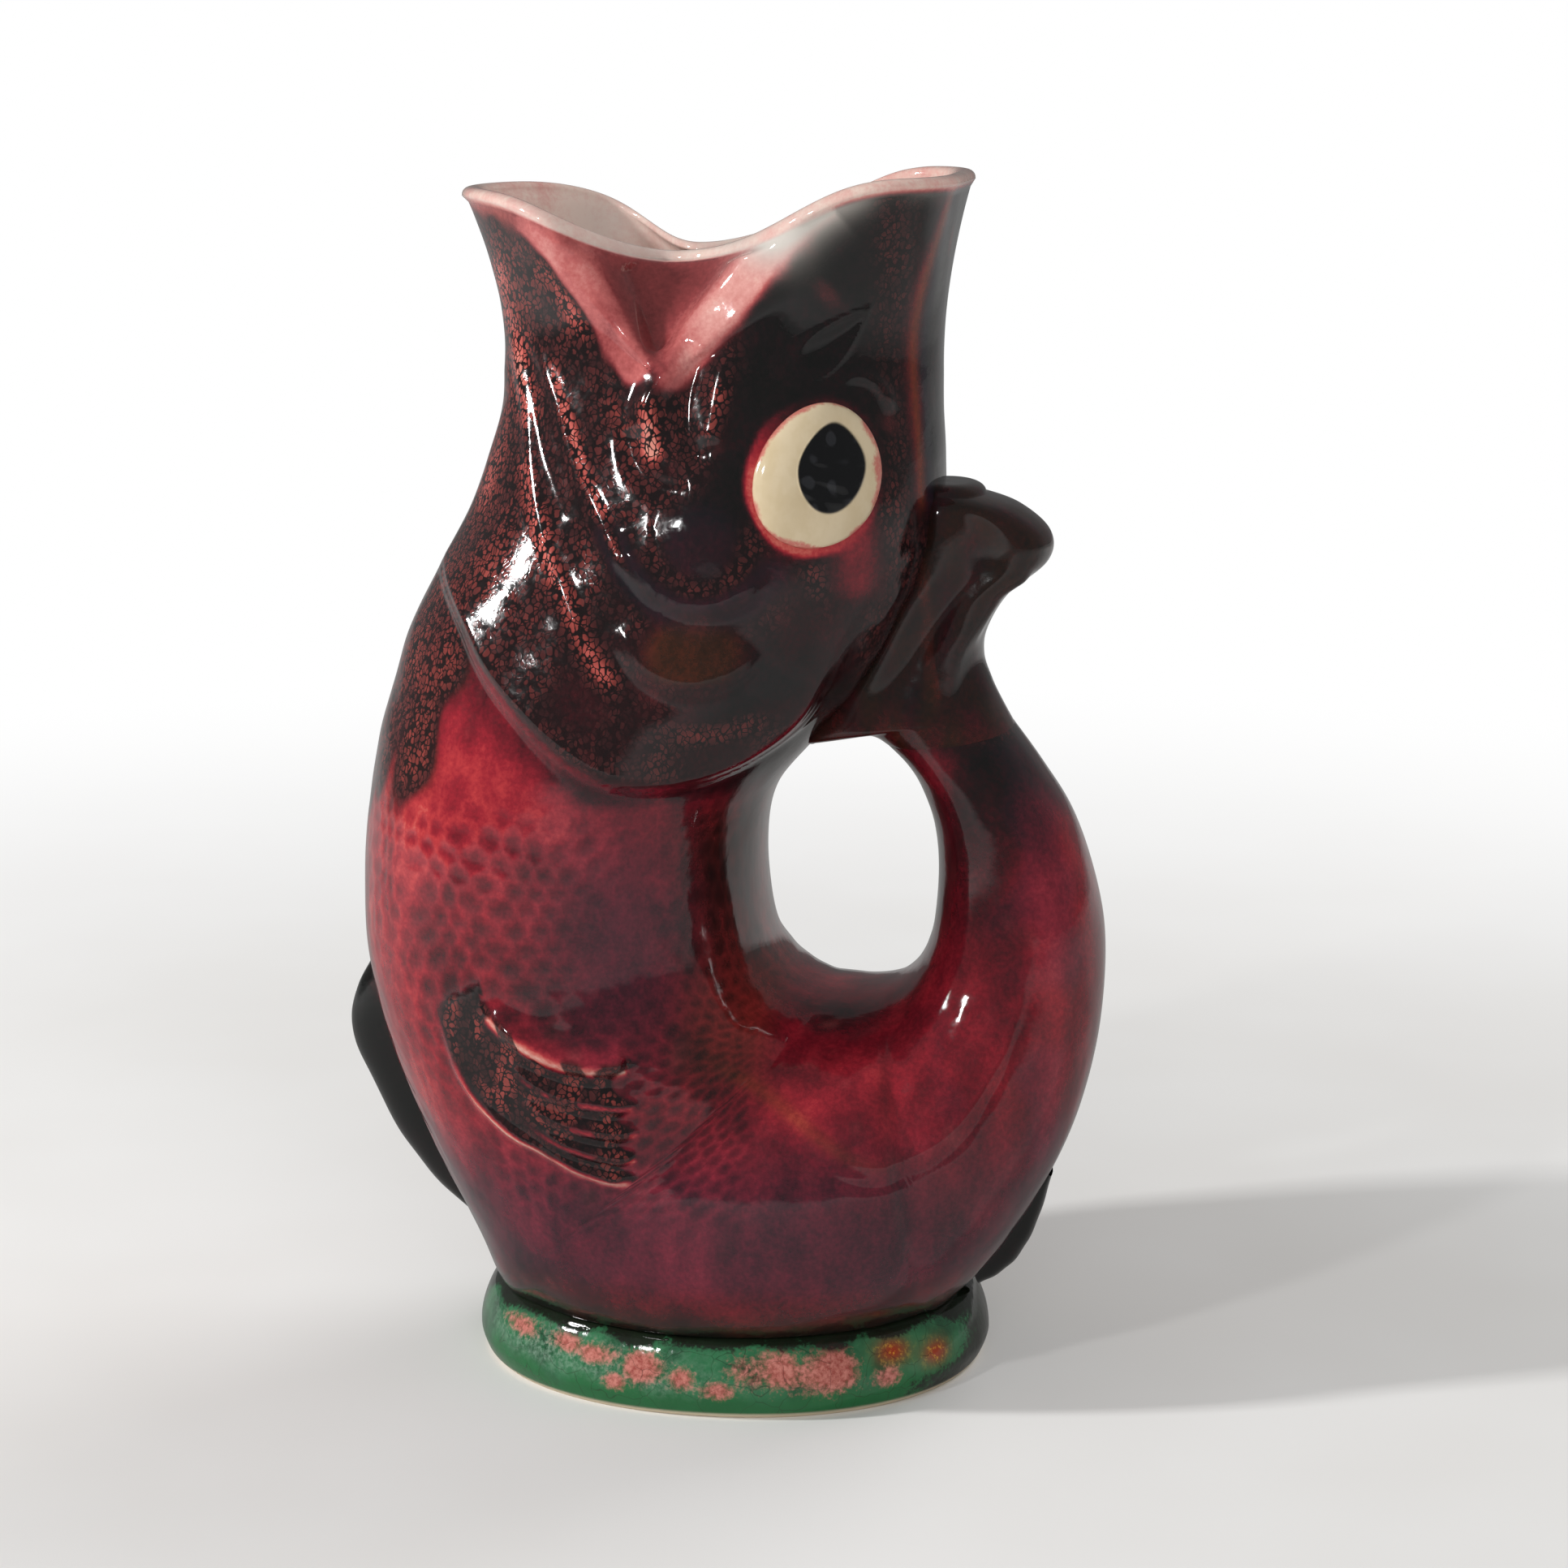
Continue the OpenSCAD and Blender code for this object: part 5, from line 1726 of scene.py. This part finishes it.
class Effects:
    """The shader node groups that the glazes share, and the colours of the thin and thick glaze."""

    oxblood = ((0.0, "e6c8b8"), (0.12, "dda192"), (0.25, "cd6a5e"), (0.37, "b4373a"), (0.48, "92202c"),
               (0.60, "6c1722"), (0.72, "46131a"), (0.84, "271013"), (0.93, "151011"), (1.0, "0c0e0d"))
    coral = ((0.0, "ecd3c6"), (0.18, "dfa39b"), (0.42, "bd6764"), (0.62, "8e3f40"), (1.0, "2a1415"))
    brown = ((0.25, "c4743a"), (0.5, "7c3a1c"), (0.8, "3c2412"), (1.0, "14100b"))
    violet = ((0.3, "8a4a60"), (0.55, "5a2b40"), (0.8, "2c1e2c"), (1.0, "141720"))
    milk = "cfc8c0"

    def __init__(self) -> None:
        """Builds each group once."""
        self.net = self.make_net()
        self.depth = self.make_depth()
        self.crazing = self.make_crazing()
        self.skin = self.make_skin()

    def make_net(self) -> NodeTree:
        """Builds the net that dark glaze draws over pink cells.

        Returns:
            The group. Sizes are in millimetres.
        """
        first = {"Vector": None, "Cell Size": 1.1, "Stretch": 1.4, "Line": 0.12}
        tree, n, i, o = new_group("glaze_net", first, ("Cells", "Shade", "Grain", "Drift"))
        coat = n.millimetres(i.outputs["Vector"])
        push = n.add("ShaderNodeTexNoise", {"Vector": coat, "Scale": 0.35, "Detail": 2.0})
        off = n.vector("SUBTRACT", push.outputs["Color"], (0.5, 0.5, 0.5))
        moved = n.vector("ADD", coat, n.scaled(off, 2.4))
        flat = n.math("DIVIDE", 1.0, i.outputs["Stretch"])
        squeeze = n.add("ShaderNodeCombineXYZ", {0: 1.0, 1: 1.0, 2: flat})
        lying = n.vector("MULTIPLY", moved, squeeze.outputs[0])
        scale = n.math("DIVIDE", 1.0, i.outputs["Cell Size"])
        lattice = {"Vector": lying, "Scale": scale, "Randomness": 1.0}
        near = n.add("ShaderNodeTexVoronoi", lattice, feature="DISTANCE_TO_EDGE")
        dots = n.add("ShaderNodeTexVoronoi", lattice)
        half = n.math("MULTIPLY", i.outputs["Line"], 0.30)
        apart = n.span(near.outputs[0], half, i.outputs["Line"])
        pick = n.add("ShaderNodeSeparateColor", {0: dots.outputs["Color"]})
        reach = n.math("MULTIPLY_ADD", pick.outputs[1], 0.30, 0.44)
        inside = n.span(n.math("SUBTRACT", dots.outputs["Distance"], reach), -0.10, 0.06, 1.0, 0.0)
        n.feed(o.inputs["Cells"], n.math("MULTIPLY", apart, inside))
        n.feed(o.inputs["Shade"], pick.outputs[0])
        n.feed(o.inputs["Grain"], n.noise(coat, 1.0, 4.0, 0.65))
        n.feed(o.inputs["Drift"], n.noise(lying, 0.16, 3.0, 0.6))
        return tree

    def make_depth(self) -> NodeTree:
        """Builds the colours that the glaze runs through as it gets thicker.

        Returns:
            The group.
        """
        first = {"Thickness": 0.5, "Rose": 0.0, "Rust": 0.0, "Blue": 0.0, "Milk": 0.0}
        tree, n, i, o = new_group("glaze_depth", first, ("Color",))
        thickness = i.outputs["Thickness"]
        body = n.ramp(thickness, self.oxblood)
        rose = n.mix(n.math("MULTIPLY", i.outputs["Rose"], 0.92), body, n.ramp(thickness, self.coral))
        rusty = n.mix(n.math("MULTIPLY", i.outputs["Rust"], 0.72), rose, n.ramp(thickness, self.brown))
        blue = n.mix(n.math("MULTIPLY", i.outputs["Blue"], 0.72), rusty, n.ramp(thickness, self.violet))
        n.feed(o.inputs["Color"], n.mix(i.outputs["Milk"], blue, linear(self.milk)))
        return tree

    def make_crazing(self) -> NodeTree:
        """Builds the fine cracks of aged glaze.

        Returns:
            The group. The cracks' mesh is in millimetres.
        """
        first = {"Vector": None, "Mesh": 8.0, "Width": 0.012}
        tree, n, i, o = new_group("glaze_crazing", first, ("Cracks",))
        big = n.millimetres(i.outputs["Vector"])
        bend = n.add("ShaderNodeTexNoise", {"Vector": big, "Scale": 0.15, "Detail": 2.0})
        moved = n.vector("ADD", big, n.scaled(bend.outputs["Color"], 5.0))
        scale = n.math("DIVIDE", 1.0, i.outputs["Mesh"])
        near = n.add("ShaderNodeTexVoronoi", {"Vector": moved, "Scale": scale}, feature="DISTANCE_TO_EDGE")
        n.feed(o.inputs["Cracks"], n.span(near.outputs[0], 0.0, i.outputs["Width"], 1.0, 0.0))
        return tree

    def make_skin(self) -> NodeTree:
        """Builds the glaze's own unevenness.

        Returns:
            The group.
        """
        first = {"Vector": None, "Ripple": 1.0, "Cells": 0.0}
        tree, n, i, o = new_group("glaze_skin", first, ("Height", "Rough"))
        big = n.millimetres(i.outputs["Vector"])
        wave = n.math("MULTIPLY_ADD", n.noise(big, 0.9, 2.0, 0.5), 0.22, n.noise(big, 0.22, 2.0, 0.5))
        wave = n.math("MULTIPLY", wave, i.outputs["Ripple"])
        n.feed(o.inputs["Height"], n.math("MULTIPLY_ADD", i.outputs["Cells"], 0.12, wave))
        n.feed(o.inputs["Rough"], n.span(n.noise(big, 0.5, 3.0), 0.3, 0.8, 0.06, 0.17))
        return tree


@dataclass(frozen=True)
class Gloss:
    """The clear, slightly uneven surface that all the glazes share.

    bump is the strength of the unevenness and depth its height in metres.
    """

    bump: float = 0.3
    depth: float = 0.0003
    bend: float = 1.5
    coat_rough: float = 0.04

    @staticmethod
    def start(slot: Slot) -> tuple[Material, Nodes, NodeSocket]:
        """Starts a glaze's material.

        Args:
            slot: The record's finish, which names it.

        Returns:
            The empty material, its layout helper and the place on the object.
        """
        material = bpy.data.materials.new(slot.value)
        material.use_nodes = True
        material.node_tree.nodes.clear()
        n = Nodes(material.node_tree)
        return material, n, n.add("ShaderNodeTexCoord").outputs["Object"]

    def end(self, n: Nodes, colour: object, rough: object, height: object, coat: object = 0.5) -> None:
        """Ends a glaze's material with its shader.

        Args:
            n: The layout helper.
            colour: The glaze's colour.
            rough: Its roughness.
            height: Its unevenness.
            coat: Weight of the clear layer on top.
        """
        uneven = n.add("ShaderNodeBump", {"Strength": self.bump, "Distance": self.depth, "Height": height})
        shader = n.add("ShaderNodeBsdfPrincipled", {"Base Color": colour, "Roughness": rough,
                                                    "IOR": self.bend, "Coat Weight": coat,
                                                    "Coat Roughness": self.coat_rough,
                                                    "Normal": uneven.outputs[0]})
        n.add("ShaderNodeOutputMaterial", {0: shader.outputs[0]})


@dataclass(frozen=True)
class BodyGlaze:
    """The run of oxblood, coral and black glaze over the fish."""

    slot: Slot
    cell: float = 1.08
    stretch: float = 1.35
    line: float = 0.12
    ripple: float = 1.0
    grain: float = 0.06
    web: str = "180f10"
    spots: tuple[tuple[float, str], ...] = (
        (0.0, "1d1112"), (0.14, "341b1c"), (0.28, "552625"), (0.44, "803631"), (0.62, "b0514a"),
        (0.80, "d0695f"), (1.0, "e39a8a"))

    def make(self, effects: Effects) -> Material:
        """Builds the material.

        Args:
            effects: The shared node groups.

        Returns:
            The material.
        """
        material, n, place = Gloss.start(self.slot)
        net = n.group(effects.net, {"Vector": place, "Cell Size": self.cell, "Stretch": self.stretch,
                                    "Line": self.line})
        cells, shade, grain, drift = net.outputs
        strength = n.mask("net")
        t = n.math("ADD", n.mask("thickness"), n.span(grain, 0.2, 0.8, -self.grain, self.grain))
        t = n.math("ADD", t, n.span(drift, 0.25, 0.75, 0.05, -0.05))
        tints = {name: n.mask(name.lower()) for name in ("Rose", "Rust", "Blue", "Milk")}
        depth = n.group(effects.depth, {"Thickness": t, **tints})
        bright = n.math("MULTIPLY_ADD", shade, 0.13, n.math("MULTIPLY_ADD", drift, 0.22, -0.15))
        bright = n.math("ADD", n.math("MULTIPLY", strength, 0.95), bright)
        netted = n.mix(cells, linear(self.web), n.ramp(bright, self.spots))
        shown = n.math("MULTIPLY", n.span(strength, 0.03, 0.20), 0.94)
        colour = n.mix(shown, depth.outputs[0], netted)
        raised = n.math("MULTIPLY", cells, strength)
        skin = n.group(effects.skin, {"Vector": place, "Ripple": self.ripple, "Cells": raised})
        Gloss().end(n, colour, skin.outputs["Rough"], skin.outputs["Height"])
        return material


@dataclass(frozen=True)
class EyeGlaze:
    """Cream glaze with a pink edge and a black painted pupil."""

    cream: str = "dbc9a9"
    mottle: str = "c8b28a"
    blush: str = "c8776b"
    black: str = "0a0b0d"
    speck: str = "35363a"

    def make(self, effects: Effects) -> Material:
        """Builds the material.

        Args:
            effects: The shared node groups.

        Returns:
            The material.
        """
        material, n, place = Gloss.start(Slot.EYE)
        skin = n.group(effects.skin, {"Vector": place, "Ripple": 0.5})
        net = n.group(effects.net, {"Vector": place, "Cell Size": 0.8})
        blots = n.span(net.outputs["Drift"], 0.35, 0.7, 0.0, 0.5)
        cream = n.mix(blots, linear(self.cream), linear(self.mottle))
        edge = n.math("ADD", n.mask("edge"), n.span(net.outputs["Grain"], 0.2, 0.8, -0.22, 0.22))
        cream = n.mix(n.span(edge, 0.42, 1.05), cream, linear(self.blush))
        black = n.mix(n.span(n.mask("blot"), 0.72, 1.0, 0.0, 0.5), linear(self.black), linear(self.speck))
        colour = n.mix(n.mask("pupil"), cream, black)
        Gloss().end(n, colour, skin.outputs["Rough"], skin.outputs["Height"])
        return material


@dataclass(frozen=True)
class FootGlaze:
    """Green glaze with pink and orange breaks, cracks and a bare clay edge, with painted shade and a painted
    highlight.
    """

    green: str = "33704a"
    deep: str = "1d6636"
    shade: str = "143021"
    # Pale green of the painted highlight and the paler streaks on the foot
    light: str = "9dbaa4"
    flesh: str = "9c4640"
    pink: str = "cf8276"
    ember: str = "9c3416"
    orange: str = "d98f2e"
    # Colour of the painted shade on the foot, which is also the dark glaze along its top
    dark: str = "17120f"
    crack: str = "1d1a14"
    clay: str = "d8c8ae"

    def make(self, effects: Effects) -> Material:
        """Builds the material.

        Args:
            effects: The shared node groups.

        Returns:
            The material.
        """
        material, n, place = Gloss.start(Slot.FOOT)
        net = n.group(effects.net, {"Vector": place, "Cell Size": 1.1})
        skin = n.group(effects.skin, {"Vector": place, "Ripple": 1.2})
        crack = n.group(effects.crazing, {"Vector": place})
        grain, drift = net.outputs["Grain"], net.outputs["Drift"]
        green = n.mix(n.span(drift, 0.35, 0.70, 0.0, 0.6), linear(self.green), linear(self.shade))
        # Painted highlight and paler streaks over the foot's bulge
        streaky = n.math("MULTIPLY", n.mask("light"), n.span(grain, 0.35, 0.70))
        green = n.mix(n.math("MULTIPLY", streaky, 0.5), green, linear(self.light))
        green = n.mix(n.math("MULTIPLY", n.mask("deep"), 0.85), green, linear(self.deep))
        pinker = n.math("ADD", n.mask("pink"), n.span(grain, 0.2, 0.8, -0.22, 0.22))
        flesh = n.mix(n.span(grain, 0.3, 0.7), linear(self.flesh), linear(self.pink))
        colour = n.mix(n.span(pinker, 0.22, 0.72, 0.0, 0.95), green, flesh)
        rusty = n.mix(n.span(grain, 0.5, 0.65), linear(self.ember), linear(self.orange))
        colour = n.mix(n.mask("rust"), colour, rusty)
        # Painted shade over the foot's ends, its tail side and its top
        darker = n.math("ADD", n.mask("dark"), n.span(grain, 0.2, 0.8, -0.3, 0.3))
        colour = n.mix(n.span(darker, 0.35, 0.85, 0.0, 0.93), colour, linear(self.dark))
        colour = n.mix(n.math("MULTIPLY", crack.outputs[0], 0.55), colour, linear(self.crack))
        bare = n.mask("bare")
        colour = n.mix(bare, colour, linear(self.clay))
        rough = n.math("MULTIPLY_ADD", bare, 0.6, skin.outputs["Rough"])
        coat = n.math("MULTIPLY_ADD", bare, -0.5, 0.5)
        Gloss(bump=0.4, depth=0.0004).end(n, colour, rough, skin.outputs["Height"], coat)
        return material


@dataclass(frozen=True)
class Studio:
    """The pale floor, the lamps and the camera."""

    lens: float = 80.66
    sensor: float = 36.0
    place: tuple[float, float, float] = (0.12790, -0.68754, 0.27256)
    right: tuple[float, float, float] = (0.9864, 0.1642, 0.0)
    up: tuple[float, float, float] = (-0.0352, 0.2114, 0.9768)
    floor_near: float = 0.12
    floor_far: float = 0.75
    mirrored_dim: float = 0.62
    mirrored_white: float = 0.15
    surroundings: float = 0.26
    aim: tuple[float, float, float] = (0.0, 0.0, 0.12)

    def camera(self) -> None:
        """Sets the camera at the photograph's viewing angle."""
        data = bpy.data.cameras.new("camera")
        data.lens = self.lens
        data.sensor_width = self.sensor
        data.clip_start = 0.01
        camera = bpy.data.objects.new("camera", data)
        bpy.context.scene.collection.objects.link(camera)
        right, up = Vector(self.right).normalized(), Vector(self.up).normalized()
        back = right.cross(up)
        camera.matrix_world = Matrix.Translation(self.place) @ Matrix((right, up, back)).transposed().to_4x4()
        bpy.context.scene.camera = camera

    def floor(self) -> None:
        """Lays a pale floor that turns white where the camera looks past the object."""
        mesh = bpy.data.meshes.new("floor")
        half = 3.0
        corners = [(-half, -half, 0), (half, -half, 0), (half, half, 0), (-half, half, 0)]
        mesh.from_pydata(corners, [], [(0, 1, 2, 3)])
        floor = bpy.data.objects.new("floor", mesh)
        material = bpy.data.materials.new("pale_floor")
        material.use_nodes = True
        shader = material.node_tree.nodes["Principled BSDF"]
        out = material.node_tree.nodes["Material Output"]
        n = Nodes(material.node_tree)
        place = n.add("ShaderNodeTexCoord").outputs["Object"]
        path = n.add("ShaderNodeLightPath")
        pale = n.mix(n.span(n.noise(place, 6.0), 0.3, 0.7), linear("e9e7e4"), linear("efeeec"))
        dim = n.math("MULTIPLY", path.outputs["Is Glossy Ray"], self.mirrored_dim)
        n.feed(shader.inputs["Base Color"], n.mix(dim, pale, BLACK))
        shader.inputs["Roughness"].default_value = 0.8
        away = n.add("ShaderNodeVectorMath", {0: place}, operation="LENGTH").outputs["Value"]
        direct = n.math("ADD", path.outputs["Is Camera Ray"], path.outputs["Is Transmission Ray"])
        seen = n.math("MULTIPLY_ADD", path.outputs["Is Glossy Ray"], self.mirrored_white, direct)
        fade = n.math("MULTIPLY", n.span(away, self.floor_near, self.floor_far), seen)
        glow = n.add("ShaderNodeEmission", {"Color": WHITE, "Strength": 1.0})
        both = n.add("ShaderNodeMixShader", {0: fade, 1: shader.outputs[0], 2: glow.outputs[0]})
        material.node_tree.links.new(both.outputs[0], out.inputs[0])
        mesh.materials.append(material)
        bpy.context.scene.collection.objects.link(floor)

    def lamp(self, name: str, at: tuple[float, float, float], size: Point, power: float) -> Object:
        """Hangs one soft lamp that points at the jug.

        Args:
            name: The lamp's name.
            at: Its place, in metres.
            size: Its width and height.
            power: Its power in watts.

        Returns:
            The lamp.
        """
        data = bpy.data.lights.new(name, "AREA")
        data.shape = "RECTANGLE"
        data.size, data.size_y = size
        data.energy = power
        lamp = bpy.data.objects.new(name, data)
        lamp.location = at
        lamp.rotation_mode = "QUATERNION"
        lamp.rotation_quaternion = (Vector(self.aim) - Vector(at)).to_track_quat("-Z", "Y")
        bpy.context.scene.collection.objects.link(lamp)
        return lamp

    def world(self) -> None:
        """Makes the surroundings a pale grey, and white where they are seen directly."""
        world = bpy.data.worlds.new("surroundings")
        world.use_nodes = True
        bpy.context.scene.world = world
        n = Nodes(world.node_tree)
        back = world.node_tree.nodes["Background"]
        path = n.add("ShaderNodeLightPath")
        back.inputs["Color"].default_value = WHITE
        direct = n.math("ADD", path.outputs["Is Camera Ray"], path.outputs["Is Transmission Ray"])
        plain = n.math("MULTIPLY_ADD", direct, 1 - self.surroundings, self.surroundings)
        mirrored = n.math("MULTIPLY_ADD", path.outputs["Is Glossy Ray"], -self.surroundings / 2, plain)
        n.feed(back.inputs["Strength"], mirrored)

    def build(self) -> None:
        """Sets up everything round the jug."""
        self.camera()
        self.floor()
        self.world()
        self.lamp("key_window", (-1.15, -0.42, 0.78), (0.10, 0.13), 12.5)
        self.lamp("second_window", (-0.62, -1.05, 0.80), (0.08, 0.11), 3.0)
        fill = self.lamp("front_fill", (0.35, -1.2, 0.70), (0.9, 0.7), 4.5)
        glow = self.lamp("back_glow", (0.7, 0.9, 0.9), (0.8, 0.8), 8.0)
        fill.visible_glossy = False
        glow.visible_glossy = False
        bpy.context.scene.view_settings.view_transform = "Standard"


def main() -> None:
    """Builds the studio, the glazes and each sub-assembly in order."""
    logging.basicConfig(level=logging.INFO, format="%(name)s: %(message)s")
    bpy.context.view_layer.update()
    Studio().build()
    effects = Effects()
    glazes = {
        Slot.HEAD: BodyGlaze(Slot.HEAD).make(effects),
        Slot.BELLY: BodyGlaze(Slot.BELLY).make(effects),
        Slot.TAIL: BodyGlaze(Slot.TAIL).make(effects),
        Slot.FIN: BodyGlaze(Slot.FIN, cell=0.9, line=0.14).make(effects),
        Slot.EYE: EyeGlaze().make(effects),
        Slot.FOOT: FootGlaze().make(effects),
    }
    Wall(WallDetail(), Sculptor()).build(glazes)
    TailFin().build(glazes[Slot.HEAD])
    Blade("front_fin_glazed", "front_fin", 10.25, 13.25,
          (0.06, 0.32, 0.64, 0.90, 1.00, 0.98, 0.94, 0.885, 0.80, 0.70, 0.57, 0.41, 0.22), 13.0, 8.0,
          0.02).build(glazes[Slot.FIN])
    Blade("back_fin_glazed", "back_fin", 21.36, 22.96, (0.62, 0.95, 1.00, 0.80, 0.48, 0.15), 5.6, 7.0,
          0.04).build(glazes[Slot.FIN])
    eye = Eye()
    eye.build(-1, "left_eye", "eye_left", glazes[Slot.EYE])
    eye.build(1, "right_eye", "eye_right", glazes[Slot.EYE])
    Foot().build(glazes[Slot.FOOT])


if __name__ == "__main__":
    main()
